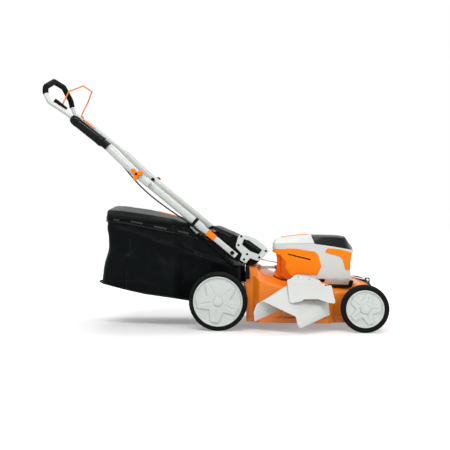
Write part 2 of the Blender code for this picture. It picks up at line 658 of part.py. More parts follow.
SIDE_PANEL = ((0.2255, 0.338), (0.232, 0.3405), (0.277, 0.3405), (0.289, 0.345), (0.324, 0.345), (0.412, 0.331),
              (0.424, 0.317), (0.437, 0.268), (0.419, 0.231), (0.373, 0.233), (0.329, 0.236), (0.300, 0.2165),
              (0.286, 0.2165), (0.262, 0.2245), (0.250, 0.232), (0.262, 0.262), (0.266, 0.290), (0.258, 0.312))
FRONT_PANEL = ((0.451, 0.329), (0.464, 0.347), (0.520, 0.342), (0.568, 0.328), (0.562, 0.288), (0.561, 0.253),
               (0.541, 0.253), (0.529, 0.297), (0.514, 0.312), (0.485, 0.320))


def hood_panel(outline, side):
    """A panel that lies on the housing's side and stands proud of it."""
    skin = cut(hood_block(PANEL_RISE), hood_block(GAP))
    half = prism([tuple(p) for p in fillet(outline, 0.006, 2)], "XZ", side * 0.09, side * 0.20)
    return common(skin, half)


def make_panels():
    for word, side in SIDES:
        slot = prism(fillet([(0.292, 0.318), (0.294, 0.3235), (0.392, 0.300), (0.390, 0.2945)], 0.002, 1), "XZ",
                     side * 0.12, side * 0.2)
        add(f"side_panel_{word}", cut(hood_panel(SIDE_PANEL, side), slot), ORANGE_PLASTIC)
        add(f"front_panel_{word}", hood_panel(FRONT_PANEL, side), ORANGE_PLASTIC)


BATTERY_REAR = 0.416
BATTERY_LOW = 0.262
TRAY_WALL = 0.008


def battery_tray():
    """The open tray that holds the battery, and its four legs."""
    long, wide, tall = BATTERY
    x, z = BATTERY_REAR, BATTERY_LOW
    tray_low = z - 0.006
    tray = box((x - TRAY_WALL, -wide / 2 - TRAY_WALL, tray_low), (x + long + TRAY_WALL, wide / 2 + TRAY_WALL, z + 0.050))
    well = box((x - GAP, -wide / 2 - GAP, z - GAP), (x + long + GAP, wide / 2 + GAP, z + 0.1))
    legs = [box((x + a, b - 0.006, HOOD_BASE - 0.003), (x + a + 0.012, b + 0.006, tray_low + 0.002))
            for a in (0.0, long - 0.012) for b in (-0.05, 0.05)]
    return [cut(tray, well), *legs]


def make_motor_base():
    """The plate that the motor stands on, in one piece with the battery's tray and the beam under its front."""
    front = WHEELBASE - 0.060
    outline = fillet([(0.300, -0.128), (front, -0.118), (front, 0.118), (0.300, 0.128)], 0.020, 3)
    plate = prism([tuple(p) for p in outline], "XY", DECK_TOP + GAP, HOOD_BASE - GAP)
    low, high, rear = DECK_TOP - 0.016, HOOD_BASE - GAP, STEP_X - 0.014
    side = fillet([(rear, low), (front, low + 0.002), (front, high), (rear - 0.024, high),
                   (rear - 0.024, DECK_TOP + GAP), (rear, DECK_TOP + GAP)], 0.005, 2)
    beam = prism([tuple(p) for p in side], "XZ", -BEAM_HALF, BEAM_HALF)
    hole = rod("XY", (MOTOR_X, 0.0), MOTOR_HOLE, DECK_TOP - 0.01, HOOD_BASE + 0.01, 24)
    add("motor_base", cut(join(plate, beam, *battery_tray()), hole), ORANGE_PAINT)


def on_motor(bm, height=0.0):
    return moved(bm, Matrix.Translation((MOTOR_X, 0.0, height)))


STATOR_LOW = HOOD_BASE + 0.004
CARRIER_TALL = 0.020
CARRIER_LOW = BLADE_HEIGHT + BLADE_THICK + GAP


def make_motor():
    bore = 0.031
    ring = [(bore, STATOR_LOW), (STATOR_RADIUS, STATOR_LOW), (STATOR_RADIUS, STATOR_LOW + STATOR_TALL),
            (bore, STATOR_LOW + STATOR_TALL)]
    foot = [(MOTOR_HOLE + 0.001, HOOD_BASE), (STATOR_RADIUS, HOOD_BASE), (STATOR_RADIUS, STATOR_LOW + 0.001),
            (MOTOR_HOLE + 0.001, STATOR_LOW + 0.001)]
    stator = join(turned(ring, 24, closed=True), turned(foot, 24, closed=True))
    add("motor_stator", on_motor(stator), COPPER, (MOTOR_X, 0.0, STATOR_LOW))
    shaft_low = CARRIER_LOW + 0.002
    bolt_bore = BOLT_RADIUS + GAP
    rotor_low = STATOR_LOW + 0.003
    rotor = [(0, 0.275), (SHAFT_RADIUS, 0.275), (SHAFT_RADIUS, rotor_low + STATOR_TALL), (0.029, rotor_low + STATOR_TALL),
             (0.029, rotor_low), (SHAFT_RADIUS, rotor_low), (SHAFT_RADIUS, shaft_low), (bolt_bore, shaft_low),
             (bolt_bore, shaft_low + 0.018), (0, shaft_low + 0.018)]
    add("motor_rotor", on_motor(turned(rotor, 20, closed=False)), STEEL, (MOTOR_X, 0.0, 0.0))


def make_blade():
    bore = SHAFT_RADIUS + GAP
    hub = [(bore, CARRIER_LOW), (0.028, CARRIER_LOW), (0.028, CARRIER_LOW + 0.006), (0.014, CARRIER_LOW + 0.010),
           (0.014, CARRIER_LOW + CARRIER_TALL), (bore, CARRIER_LOW + CARRIER_TALL)]
    add("blade_carrier", on_motor(turned(hub, 20, closed=True)), STEEL, (MOTOR_X, 0.0, CARRIER_LOW))
    half = BLADE_WIDTH / 2
    outline = [(-BLADE_RADIUS, -half), (-0.110, -half), (-0.090, -half + 0.006), (0.090, -half + 0.006),
               (0.110, -half + 0.006), (BLADE_RADIUS, -half + 0.006), (BLADE_RADIUS, half), (0.110, half),
               (0.090, half - 0.006), (-0.090, half - 0.006), (-0.110, half - 0.006), (-BLADE_RADIUS, half - 0.006)]
    blade = prism(outline, "XY", BLADE_HEIGHT, BLADE_HEIGHT + BLADE_THICK)
    for side in (-1, 1):
        wing = prism([(-side * 0.0, 0.0), (side * 0.010, 0.012), (side * 0.013, 0.012), (side * 0.0042, 0.0)], "YZ",
                     0.125, 0.200)
        if side < 0:
            wing = moved(wing, Matrix.Scale(-1, 4, (1, 0, 0)))
        wing = moved(wing, Matrix.Translation((0.0, side * (half - 0.016), BLADE_HEIGHT + BLADE_THICK - 0.001)))
        blade = join(blade, wing)
    hole = rod("XY", (0.0, 0.0), BOLT_RADIUS + GAP, BLADE_HEIGHT - 0.01, BLADE_HEIGHT + 0.02, 12)
    add("blade", on_motor(cut(blade, hole)), STEEL, (MOTOR_X, 0.0, BLADE_HEIGHT))
    head = rod("XY", (0.0, 0.0), 0.011, BLADE_HEIGHT - 0.009, BLADE_HEIGHT - GAP, 6)
    shank = rod("XY", (0.0, 0.0), BOLT_RADIUS, BLADE_HEIGHT - 0.002, CARRIER_LOW + 0.014, 12)
    add("blade_bolt", on_motor(join(head, shank)), DARK_STEEL, (MOTOR_X, 0.0, BLADE_HEIGHT))


def make_battery():
    long, wide, tall = BATTERY
    x, z = BATTERY_REAR, BATTERY_LOW
    block = box((x, -wide / 2, z), (x + long, wide / 2, z + tall))
    bmesh.ops.bevel(block, geom=block.edges[:], offset=0.008, segments=2, affect="EDGES")
    handle = box((x + 0.015, -0.020, z + tall - 0.014), (x + 0.045, 0.020, z + tall + 0.01))
    add("battery_pack", cut(block, handle), BLACK_PLASTIC, (x, 0.0, z))
    key = prism(fillet([(-0.012, 0.0), (0.012, 0.0), (0.010, 0.016), (-0.010, 0.016)], 0.003, 2), "YZ", x + long + 0.001,
                x + long + 0.007)
    key = moved(key, Matrix.Translation((0.0, 0.0, z + 0.0505)))
    add("safety_key", key, ORANGE_PLASTIC, (x + long, 0.0, z + 0.05))


def along_handle(distance, rise=0.0):
    """A point in side view, up the handle from its pivot by a distance and off its line by a rise."""
    c, s = math.cos(HANDLE_SLOPE), math.sin(HANDLE_SLOPE)
    return (HANDLE_PIVOT[0] - distance * c + rise * s, HANDLE_PIVOT[1] + distance * s + rise * c)


FOLD_PIVOT = along_handle(FOLD_REACH)


def above_fold(x, z):
    """A point in side view, given from the axis that the upper handle folds on."""
    return (FOLD_PIVOT[0] + x, FOLD_PIVOT[1] + z)


CONSOLE_SIDE = ((-0.045, 0.4235), (0.056, 0.3885), (0.061, 0.3955), (0.072, 0.3985), (0.092, 0.396), (0.112, 0.392),
                (0.148, 0.3755), (0.175, 0.352), (0.194, 0.326), (0.168, 0.2865), (0.146, 0.2725), (0.120, 0.2725),
                (0.098, 0.2805), (0.060, 0.2935), (0.022, 0.318), (-0.022, 0.353), (-0.062, 0.392))
CONSOLE_BRIDGE = ((0.097, 0.389), (0.112, 0.386), (0.144, 0.3705), (0.169, 0.348), (0.186, 0.324), (0.163, 0.289),
                  (0.143, 0.2725), (0.139, 0.2725), (0.157, 0.289), (0.180, 0.324), (0.166, 0.343), (0.141, 0.3655),
                  (0.111, 0.381), (0.097, 0.384))


def make_rear_console():
    """Two side plates and the cover between them, over the deck's rear tunnel."""
    half = CONSOLE_HALF
    outline = [tuple(p) for p in fillet(CONSOLE_SIDE, 0.010, 2)]
    console = prism([tuple(p) for p in CONSOLE_BRIDGE], "XZ", -half + 0.002, half - 0.002)
    for word, side in SIDES:
        console = join(console, prism(outline, "XZ", side * (half - CONSOLE_WALL), side * half))
    holes = [rod("XZ", HANDLE_PIVOT, BOLT_RADIUS + RUNNING, -0.2, 0.2, 12),
             rod("XZ", FLAP_PIN, PIN_RADIUS + GAP, -0.2, 0.2, 12)]
    add("rear_console", cut(console, *holes), BLACK_PLASTIC)


def make_discharge_flap():
    """A cover that is open below. Two stub pins moulded on its sides turn in the console's side plates."""
    outline = [(-0.053, 0.4285), (-0.050, 0.4365), (-0.042, 0.4415), (-0.033, 0.4425), (-0.023, 0.4395),
               (0.060, 0.4040), (0.072, 0.3985), (0.0775, 0.394), (0.0775, 0.388), (0.071, 0.3835), (0.061, 0.3825),
               (0.048, 0.3935), (-0.032, 0.4265)]
    flap = prism(outline, "XZ", -FLAP_HALF, FLAP_HALF)
    hollow = [(-0.049, 0.400), (-0.047, 0.4345), (-0.040, 0.4385), (-0.034, 0.4393), (-0.025, 0.4365), (0.056, 0.4020),
              (0.056, 0.375)]
    flap = cut(flap, prism(hollow, "XZ", -FLAP_HALF + FLAP_WALL, FLAP_HALF - FLAP_WALL))
    stub_end = CONSOLE_HALF - 0.0005
    stubs = [rod("XZ", FLAP_PIN, PIN_RADIUS, side * (FLAP_HALF - 0.004), side * stub_end, 12) for side in (-1, 1)]
    add("discharge_flap", join(flap, *stubs), BLACK_PLASTIC, (FLAP_PIN[0], 0.0, FLAP_PIN[1]))


GRIP_INNER = CONSOLE_HALF + GAP
GRIP_OUTER = GRIP_INNER + 0.017
GRIP_OUTLINE = ((0.085, 0.4045), (0.116, 0.4035), (0.156, 0.3875), (0.181, 0.368), (0.203, 0.349), (0.213, 0.333),
                (0.179, 0.298), (0.164, 0.2915), (0.131, 0.303), (0.112, 0.279), (0.086, 0.296), (0.097, 0.320),
                (0.0695, 0.349), (0.0695, 0.359), (0.078, 0.392))
GRIP_WINDOW = ((0.104, 0.389), (0.125, 0.383), (0.186, 0.339), (0.171, 0.317), (0.130, 0.333), (0.094, 0.362))


def make_height_grip():
    grip = prism([tuple(p) for p in fillet(GRIP_OUTLINE, 0.006, 2)], "XZ", -GRIP_OUTER, -GRIP_INNER)
    window = prism([tuple(p) for p in fillet(GRIP_WINDOW, 0.005, 2)], "XZ", -GRIP_OUTER - 0.01, -GRIP_INNER + 0.01)
    add("height_grip", cut(grip, window), WHITE_PLASTIC, (0.14, -GRIP_INNER, 0.34))
    lever = [(0.108, 0.383), (0.124, 0.3785), (0.176, 0.341), (0.170, 0.333), (0.122, 0.366), (0.104, 0.3715)]
    blade = prism([tuple(p) for p in fillet(lever, 0.002, 1)], "XZ", -GRIP_INNER - 0.013, -GRIP_INNER - 0.001)
    add("height_release_lever", blade, BLACK_PLASTIC, (0.14, -GRIP_INNER, 0.36))


def handle_path(points, y):
    return [(x, y, z) for x, z in points]


def make_lower_handle():
    """Each bar is an oval tube that is pressed flat towards its pivot."""
    flat = (FLAT_TALL / 2, FLAT_WIDE / 2)
    oval = (LOWER_TALL / 2, LOWER_WIDE / 2)
    marks = ((-0.022, flat), (0.085, flat), (0.150, flat), (0.175, oval), (FOLD_REACH - 0.05, oval),
             (FOLD_REACH + 0.005, flat), (FOLD_REACH + 0.022, flat))
    for word, side in SIDES:
        path = handle_path([along_handle(distance) for distance, size in marks], side * LOWER_Y)
        tube = loft(tube_rings(path, [size for distance, size in marks], 12, math.pi / 12))
        reach = (side * 0.10, side * 0.30)
        holes = [rod("XZ", HANDLE_PIVOT, BOLT_RADIUS + RUNNING, *reach, 12),
                 rod("XZ", FOLD_PIVOT, BOLT_RADIUS + RUNNING, *reach, 12)]
        add(f"lower_handle_{word}", cut(tube, *holes), TUBE_PAINT, (HANDLE_PIVOT[0], side * LOWER_Y, HANDLE_PIVOT[1]))


def make_pivot_bolts():
    washer_in = LOWER_Y + FLAT_WIDE / 2 + GAP
    for word, side in SIDES:
        head = rod("XZ", HANDLE_PIVOT, 0.009, side * washer_in, side * (washer_in + 0.005), 12)
        shank = rod("XZ", HANDLE_PIVOT, BOLT_RADIUS, side * (CONSOLE_HALF - CONSOLE_WALL - 0.004),
                    side * (washer_in + 0.002), 12)
        add(f"pivot_bolt_{word}", join(head, shank), DARK_STEEL, (HANDLE_PIVOT[0], side * washer_in, HANDLE_PIVOT[1]))


SLEEVE_AT = 0.120


def make_sleeves():
    """A locking sleeve that slides on the flat end of each bar."""
    turn = Matrix.Rotation(HANDLE_SLOPE, 4, "Y")
    outline = fillet([(-SLEEVE_TALL / 2, -SLEEVE_WIDE / 2), (SLEEVE_TALL / 2, -SLEEVE_WIDE / 2),
                      (SLEEVE_TALL / 2, SLEEVE_WIDE / 2), (-SLEEVE_TALL / 2, SLEEVE_WIDE / 2)], 0.004, 2)
    for word, side in SIDES:
        x, z = along_handle(SLEEVE_AT)
        ring = [(point.y, point.x) for point in outline]
        sleeve = moved(prism(ring, "YZ", -SLEEVE_LONG / 2, SLEEVE_LONG / 2), turn)
        sleeve = moved(sleeve, Matrix.Translation((x, side * LOWER_Y, z)))
        grow = 2 * RUNNING
        flat = (FLAT_TALL / 2 + grow, FLAT_WIDE / 2 + grow)
        path = handle_path([along_handle(SLEEVE_AT - 0.05), along_handle(SLEEVE_AT + 0.05)], side * LOWER_Y)
        passage = loft(tube_rings(path, [flat, flat], 12, math.pi / 12))
        add(f"handle_sleeve_{word}", cut(sleeve, passage), ORANGE_PLASTIC, (x, side * LOWER_Y, z))


GRIP_FOOT = above_fold(-0.4125, 0.3627)
ARCH_X, ARCH_LOW = above_fold(-0.416, 0.3947)
ARCH_TOP = ARCH_LOW + 0.0465


def upper_half():
    """The handlebar's right half, from its lower end to the top, as (point, size) marks."""
    oval = (LOWER_TALL / 2, UPPER_WIDE / 2)
    round_size = (TUBE_RADIUS, TUBE_RADIUS)
    straight = [(along_handle(FOLD_REACH - 0.070), oval), (along_handle(FOLD_REACH + 0.030), oval),
                (along_handle(FOLD_REACH + 0.105, 0.004), oval), (along_handle(FOLD_REACH + 0.165, 0.009), oval),
                (along_handle(FOLD_REACH + 0.235, 0.011), round_size),
                (along_handle(FOLD_REACH + 0.420, 0.009), round_size)]
    marks = [(Vector((x, -UPPER_Y, z)), size) for (x, z), size in straight]
    knee_x, knee_z = above_fold(-0.397, 0.3227)
    bend = fillet([marks[-1][0], (knee_x, -UPPER_Y + 0.001, knee_z), (GRIP_FOOT[0], -UPPER_Y + 0.002, GRIP_FOOT[1]),
                   (ARCH_X, -UPPER_Y + 0.008, ARCH_LOW), (ARCH_X, -0.066, ARCH_TOP), (ARCH_X, 0.0, ARCH_TOP)],
                  0.030, 3, closed=False)
    return marks + [(point, round_size) for point in bend[1:-1]]


def whole_handle():
    half = upper_half()
    other = [(Vector((p.x, -p.y, p.z)), size) for p, size in reversed(half)]
    return half + other


def bar_bore():
    """The hole in the left side of the handlebar that the bail's far end turns in."""
    return rod("XZ", BAIL_PIVOT, BAIL_RADIUS + RUNNING, UPPER_Y - 0.03, UPPER_Y, 12)


BAIL_PIVOT = above_fold(-0.3525, 0.3092)
BAIL_TOP = above_fold(-0.277, 0.4142)


def make_upper_handle():
    marks = whole_handle()
    path = [point for point, size in marks]
    sizes = [size for point, size in marks]
    tube = loft(tube_rings(path, sizes, 12, math.pi / 12))
    holes = [rod("XZ", FOLD_PIVOT, BOLT_RADIUS + RUNNING, -0.3, 0.3, 12), bar_bore()]
    add("upper_handlebar", cut(tube, *holes), TUBE_PAINT, (FOLD_PIVOT[0], 0.0, FOLD_PIVOT[1]))
    start = next(i for i, point in enumerate(path) if point.z > GRIP_FOOT[1] - 0.012)
    span = slice(start, len(path) - start)
    outer = TUBE_RADIUS + GRIP_THICK
    inner = TUBE_RADIUS + 2 * GAP
    grip_path = path[span]
    outside = tube_rings(grip_path, (outer, outer), 12, math.pi / 12)
    inside = tube_rings(grip_path, (inner, inner), 12, math.pi / 12)
    rings = outside + list(reversed(inside))
    add("foam_grip", loft(rings, closed=True), FOAM, (GRIP_FOOT[0], 0.0, GRIP_FOOT[1]))


def make_star_knobs():
    face = UPPER_Y + UPPER_WIDE / 2 + GAP
    sides = 24
    for word, side in SIDES:
        outline = []
        for k in range(sides):
            angle = 2 * math.pi * k / sides
            radius = KNOB_RADIUS * (0.67 + 0.33 * math.cos(3 * (angle - math.radians(133))))
            outline.append((FOLD_PIVOT[0] + radius * math.cos(angle), FOLD_PIVOT[1] + radius * math.sin(angle)))
        star = prism(outline, "XZ", side * (face + 0.002), side * (face + KNOB_THICK))
        collar = rod("XZ", FOLD_PIVOT, 0.010, side * face, side * (face + 0.006), 16)
        stud_end = LOWER_Y - FLAT_WIDE / 2 - 0.008
        stud = rod("XZ", FOLD_PIVOT, BOLT_RADIUS, side * stud_end, side * (face + 0.004), 12)
        pivot = (FOLD_PIVOT[0], side * face, FOLD_PIVOT[1])
        add(f"star_knob_{word}", join(star, collar, stud), ORANGE_PLASTIC, pivot)


CONTROL_SLOPE = math.radians(38.4)
CONTROL_AT = FOLD_REACH + 0.290


def control_frame():
    x, z = along_handle(CONTROL_AT, 0.0100)
    return Matrix.Translation((x, -UPPER_Y, z)) @ Matrix.Rotation(CONTROL_SLOPE, 4, "Y")


def make_control_box():
    """The switch housing round the right side of the handlebar; local +X points down the handle."""
    half = CONTROL_LONG / 2
    marks = ((-half, 0.55), (-half + 0.006, 0.85), (-half + 0.020, 1.0), (half - 0.030, 1.0), (half - 0.012, 0.94),
             (half - 0.010, 0.82), (half + 0.018, 0.80))
    base = fillet([(-0.5, -0.5), (0.5, -0.5), (0.5, 0.5), (-0.5, 0.5)], 0.28, 3)
    rings = [[Vector((x, p.x * CONTROL_WIDE * k, p.y * CONTROL_TALL * k)) for p in base] for x, k in marks]
    body = moved(loft(rings), control_frame())
    path = [point for point, size in upper_half()]
    sizes = [(size[0] + BORE_PLAY, size[1] + BORE_PLAY) for point, size in upper_half()]
    passage = loft(tube_rings(path, sizes, 12, math.pi / 12))
    seat = moved(box((-0.052, 0.0025, CONTROL_TALL / 2 - 0.006), (0.012, 0.0175, CONTROL_TALL)), control_frame())
    pivot = tuple(control_frame().translation)
    add("control_box", cut(body, passage, seat), GLOSS_BLACK, pivot)
    button = box((-0.052 + GAP, 0.0025 + GAP, CONTROL_TALL / 2 - 0.006 + 0.0035), (0.012 - GAP, 0.0175 - GAP,
                 CONTROL_TALL / 2 + 0.004))
    bmesh.ops.bevel(button, geom=button.edges[:], offset=0.0015, segments=1, affect="EDGES")
    add("start_button", moved(button, control_frame()), ORANGE_PLASTIC, pivot)


def make_bail():
    """A bent wire with its two ends turned outwards as pivots."""
    x, z = BAIL_PIVOT
    half = [(x, BAIL_HALF, z), (x + 0.011, BAIL_HALF, z + 0.024), (x + 0.033, BAIL_HALF, z + 0.066),
            (BAIL_TOP[0], 0.070, BAIL_TOP[1]), (BAIL_TOP[0], 0.0, BAIL_TOP[1])]
    right_end = (x, -(BAIL_HALF + 0.012), z)
    left_end = (x, UPPER_Y - 0.005, z)
    path = [right_end] + [(a, -b, c) for a, b, c in half] + list(reversed(half))[1:] + [left_end]
    add("bail", bar(fillet(path, 0.008, 2, closed=False), BAIL_RADIUS, 8), ORANGE_PLASTIC, (x, 0.0, z))
    housing_in = BAIL_HALF + 0.005
    turn = Matrix.Translation((x, 0.0, z)) @ Matrix.Rotation(CONTROL_SLOPE, 4, "Y")
    block = box((-0.034, -(UPPER_Y - TUBE_RADIUS - 0.0012), -0.018), (0.030, -housing_in, 0.0125))
    bmesh.ops.bevel(block, geom=block.edges[:], offset=0.003, segments=1, affect="EDGES")
    bore = rod("XZ", BAIL_PIVOT, BAIL_RADIUS + RUNNING, -(BAIL_HALF + 0.014), -(BAIL_HALF - 0.02), 12)
    add("bail_switch_box", cut(moved(block, turn), bore), BLACK_PLASTIC, (x, -housing_in, z))


CLIP_AT = 0.2105
CLIP_LONG = 0.013
CLIP_EYE_Y = -0.0105
CABLE_DROP = 0.0200
CABLE_UPPER = (
    # share of the way from the clip up to the control box, distance across, rise off the handle's line
    (1.000, -0.1755, 0.0081), (0.966, -0.1755, 0.0043), (0.921, -0.1755, -0.0020), (0.872, -0.1756, -0.0065),
    (0.823, -0.1758, -0.0110), (0.763, -0.1765, -0.0158), (0.699, -0.1800, -0.0212), (0.633, -0.1840, -0.0264),
    (0.561, -0.1850, -0.0310), (0.479, -0.1850, -0.0335), (0.397, -0.1850, -0.0338), (0.320, -0.1840, -0.0325),
    (0.249, -0.1830, -0.0303), (0.183, -0.1820, -0.0278), (0.113, -0.1805, -0.0242), (0.055, -0.1790, -0.0212))
CABLE_LOWER = ((-0.1040, -0.1765, 0.4285), (-0.090, -0.173, 0.416), (-0.072, -0.168, 0.402), (-0.056, -0.1625, 0.391),
               (-0.043, -0.1598, 0.3845))


def cable_end(way):
    """Where a cable meets the clip's eye, above it or below it."""
    x, z = along_handle(CLIP_AT + way * (CLIP_LONG / 2 + 0.0014), -CABLE_DROP)
    return (x, -LOWER_Y + CLIP_EYE_Y, z)


def upper_route():
    low, high = CLIP_AT + CLIP_LONG / 2, CONTROL_AT - 0.1155
    route = []
    for share, across, rise in CABLE_UPPER:
        x, z = along_handle(low + (high - low) * share, rise)
        route.append((x, across, z))
    return route + [cable_end(1)]


def smooth_route(points, per_span=2):
    """Points along a smooth curve through the route's own points."""
    route = [Vector(p) for p in points]
    ends = [route[0] * 2 - route[1]] + route + [route[-1] * 2 - route[-2]]
    smooth = []
    for i in range(1, len(ends) - 2):
        a, b, c, d = ends[i - 1:i + 3]
        for step in range(per_span):
            t = step / per_span
            smooth.append(0.5 * (2 * b + (c - a) * t + (2 * a - 5 * b + 4 * c - d) * t * t
                                 + (3 * b - a - 3 * c + d) * t ** 3))
    return smooth + [route[-1]]


def cable(name, points, radius):
    curve = bpy.data.curves.new(name, "CURVE")
    curve.dimensions = "3D"
    curve.bevel_depth = radius
    curve.bevel_resolution = 2
    curve.use_fill_caps = True
    route = smooth_route(points)
    spline = curve.splines.new("POLY")
    spline.points.add(len(route) - 1)
    for point, place in zip(spline.points, route):
        point.co = (*place, 1.0)
    curve.materials.append(BLACK_PLASTIC)
    item = bpy.data.objects.new(name, curve)
    bpy.context.collection.objects.link(item)
    item.parent = ROOT


def make_cables():
    cable("cable_upper", upper_route(), CABLE_RADIUS)
    cable("cable_lower", [cable_end(-1), *CABLE_LOWER], CABLE_RADIUS)
    across, height = CONDUIT_AT
    spread = [CONDUIT_REAR + (CONDUIT_FRONT - CONDUIT_REAR) * k / 3 for k in range(4)]
    cable("cable_conduit", [(x, across, height) for x in spread], CONDUIT_RADIUS)


def make_cable_clip():
    """A strap round the lower bar with an eye below it that holds the cable."""
    x, z = along_handle(CLIP_AT)
    turn = Matrix.Translation((x, -LOWER_Y, z)) @ Matrix.Rotation(HANDLE_SLOPE, 4, "Y")
    long = CLIP_LONG / 2
    oval = [(LOWER_TALL / 2 + 0.0035, LOWER_WIDE / 2 + 0.0035)] * 2
    ends = [(-long, 0.0, 0.0), (long, 0.0, 0.0)]
    strap = loft(tube_rings(ends, oval, 16))
    eye_z = -LOWER_TALL / 2 - CABLE_RADIUS
    eye = box((-long, CLIP_EYE_Y - 0.006, eye_z - 0.006), (long, CLIP_EYE_Y + 0.009, eye_z + 0.010))
    strap = join(strap, eye)
    inside = [(LOWER_TALL / 2 + GAP, LOWER_WIDE / 2 + GAP)] * 2
    bore = loft(tube_rings([(-0.02, 0.0, 0.0), (0.02, 0.0, 0.0)], inside, 12, math.pi / 12))
    add("cable_clip", moved(cut(strap, bore), turn), BLACK_PLASTIC, (x, -LOWER_Y, z))


def bag_floor(x):
    """The height of the bag's underside: it sags towards the front, then steps up over the rear axle."""
    for (front, high), (rear, low) in zip(BAG_UNDERSIDE, BAG_UNDERSIDE[1:]):
        if x > rear:
            return low + (high - low) * min((x - rear) / (front - rear), 1.0)
    return low


BAG_UNDERSIDE = ((-0.060, 0.160), (-0.130, 0.113), (-0.215, 0.1254), (-0.330, 0.1466), (-0.540, 0.1980))


def bag_roof(x):
    """The height of the bag's upper edge: along the cover, then down the slope to the mouth."""
    if x < -0.110:
        return 0.448 + (-0.110 - x) * 0.110
    if x < 0.055:
        return 0.414 - (x + 0.095) * 0.90
    return 0.279 - (x - 0.055) * 0.20


def bag_outline(rear, bulge, mouth, half, neck_half):
    """One closed outline in plan, from the rear round to the mouth, as right and left halves."""
    right = [(rear, half - 0.050), (rear + 0.012, half - 0.016), (rear + 0.045, half + bulge * 0.5),
             (-0.330, half + bulge), (-0.215, half + bulge), (-0.165, half - 0.035), (-0.120, neck_half),
             (-0.060, neck_half), (0.055, neck_half), (mouth, neck_half)]
    return [(x, -y) for x, y in right] + [(x, y) for x, y in reversed(right)]


BAG_LEVELS = ((0.0, BAG_REAR, -0.008), (0.10, BAG_REAR + 0.002, -0.001), (0.30, BAG_REAR + 0.008, 0.002),
              (0.50, BAG_REAR + 0.021, 0.000), (0.68, BAG_REAR + 0.029, -0.004), (0.85, BAG_REAR + 0.024, -0.003),
              (1.0, BAG_REAR + 0.020, 0.0))


def bag_block(inset, floor_rise, roof_rise, mouth):
    """The bag's shape, lofted from its floor to its roof."""
    rings = []
    for level, rear, bulge in BAG_LEVELS:
        ring = []
        for x, y in bag_outline(rear + inset, bulge, mouth, BAG_HALF - 0.008 - inset, BAG_NECK_HALF - inset):
            low = bag_floor(x) + BAG_BASE_THICK + GAP + floor_rise
            high = bag_roof(x) - roof_rise
            ring.append(Vector((x, y, low + (high - low) * level)))
        rings.append(ring)
    return loft(rings, strips=True)


def make_bag_fabric():
    outer = bag_block(0.0, 0.0, COVER_RIM, BAG_MOUTH)
    inner = bag_block(BAG_WALL, BAG_WALL, COVER_RIM + BAG_WALL, BAG_MOUTH + 0.02)
    add("bag_fabric", cut(outer, inner), FABRIC, (BAG_MOUTH, 0.0, 0.27))


def make_bag_base():
    """A stiff tray under the fabric with a lip at its rear."""
    stations = (BAG_REAR - 0.015, BAG_REAR + 0.010, -0.330, -0.215, -0.135)
    halves = (BAG_HALF - 0.055, BAG_HALF - 0.022, BAG_HALF - 0.014, BAG_HALF - 0.014, BAG_NECK_HALF + 0.015)
    rings = []
    for x, half in zip(stations, halves):
        low = bag_floor(x)
        high = bag_floor(x) + BAG_BASE_THICK
        rings.append([Vector((x, -half, low)), Vector((x, half, low)), Vector((x, half, high)), Vector((x, -half, high))])
    add("bag_base", loft(rings), BLACK_PLASTIC, (BAG_MOUTH, 0.0, 0.16))


COVER_STATIONS = (
    # x, half width at the rim, half width of the top, height of its side ridges and of its middle above the rim
    (-0.494, BAG_HALF - 0.045, BAG_HALF - 0.060, 0.008, 0.012),
    (-0.482, BAG_HALF - 0.012, BAG_HALF - 0.038, 0.018, 0.029),
    (-0.465, BAG_HALF, BAG_HALF - 0.032, 0.0255, 0.041),
    (-0.440, BAG_HALF + 0.001, BAG_HALF - 0.030, 0.0285, 0.0455),
    (-0.360, BAG_HALF + 0.001, BAG_HALF - 0.029, 0.0270, 0.0440),
    (-0.294, BAG_HALF + 0.001, BAG_HALF - 0.029, 0.0245, 0.0385),
    (-0.215, BAG_HALF + 0.001, BAG_HALF - 0.030, 0.0190, 0.0290),
    (-0.195, BAG_HALF - 0.014, BAG_HALF - 0.037, 0.0160, 0.0262),
    (-0.165, BAG_HALF - 0.040, BAG_HALF - 0.058, 0.0090, 0.0200),
    (-0.118, BAG_NECK_HALF + 0.005, BAG_NECK_HALF - 0.006, 0.0030, 0.0080),
)
COVER_CREST = 0.056


def cover_block(inset, drop):
    rings = []
    for x, rim, top, ridge, tall in COVER_STATIONS:
        base = bag_roof(x) - COVER_RIM + GAP - drop
        crown = bag_roof(x) + tall - inset
        edge = bag_roof(x) + ridge - inset
        right = [(rim - inset, base), (rim - inset, bag_roof(x) + ridge * 0.15 - inset / 2),
                 (top + 0.010 - inset, edge - ridge * 0.15), (top - 0.002 - inset, edge), (COVER_CREST, crown)]
        ring = [(-y, z) for y, z in right] + [(y, z) for y, z in reversed(right)]
        rings.append([Vector((x, y, z)) for y, z in ring])
    rings[0] = [point + Vector((inset, 0, 0)) for point in rings[0]]
    rings[-1] = [point - Vector((inset, 0, 0)) for point in rings[-1]]
    return loft(rings)


LEVEL_FLAP = (-0.290, -0.200, 0.050)


def cover_crown(x):
    """The height of the cover's middle."""
    for (a, *skip, low), (b, *skip, high) in zip(COVER_STATIONS, COVER_STATIONS[1:]):
        if x <= b:
            return bag_roof(x) + low + (high - low) * (x - a) / (b - a)


def level_flap_frame():
    """Places the fill-level flap on the sloping top of the cover."""
    rear, front, half = LEVEL_FLAP
    height = cover_crown(front) + 0.0012
    slope = math.atan2(cover_crown(rear) - cover_crown(front), front - rear)
    return Matrix.Translation((front, 0.0, height)) @ Matrix.Rotation(slope, 4, "Y")


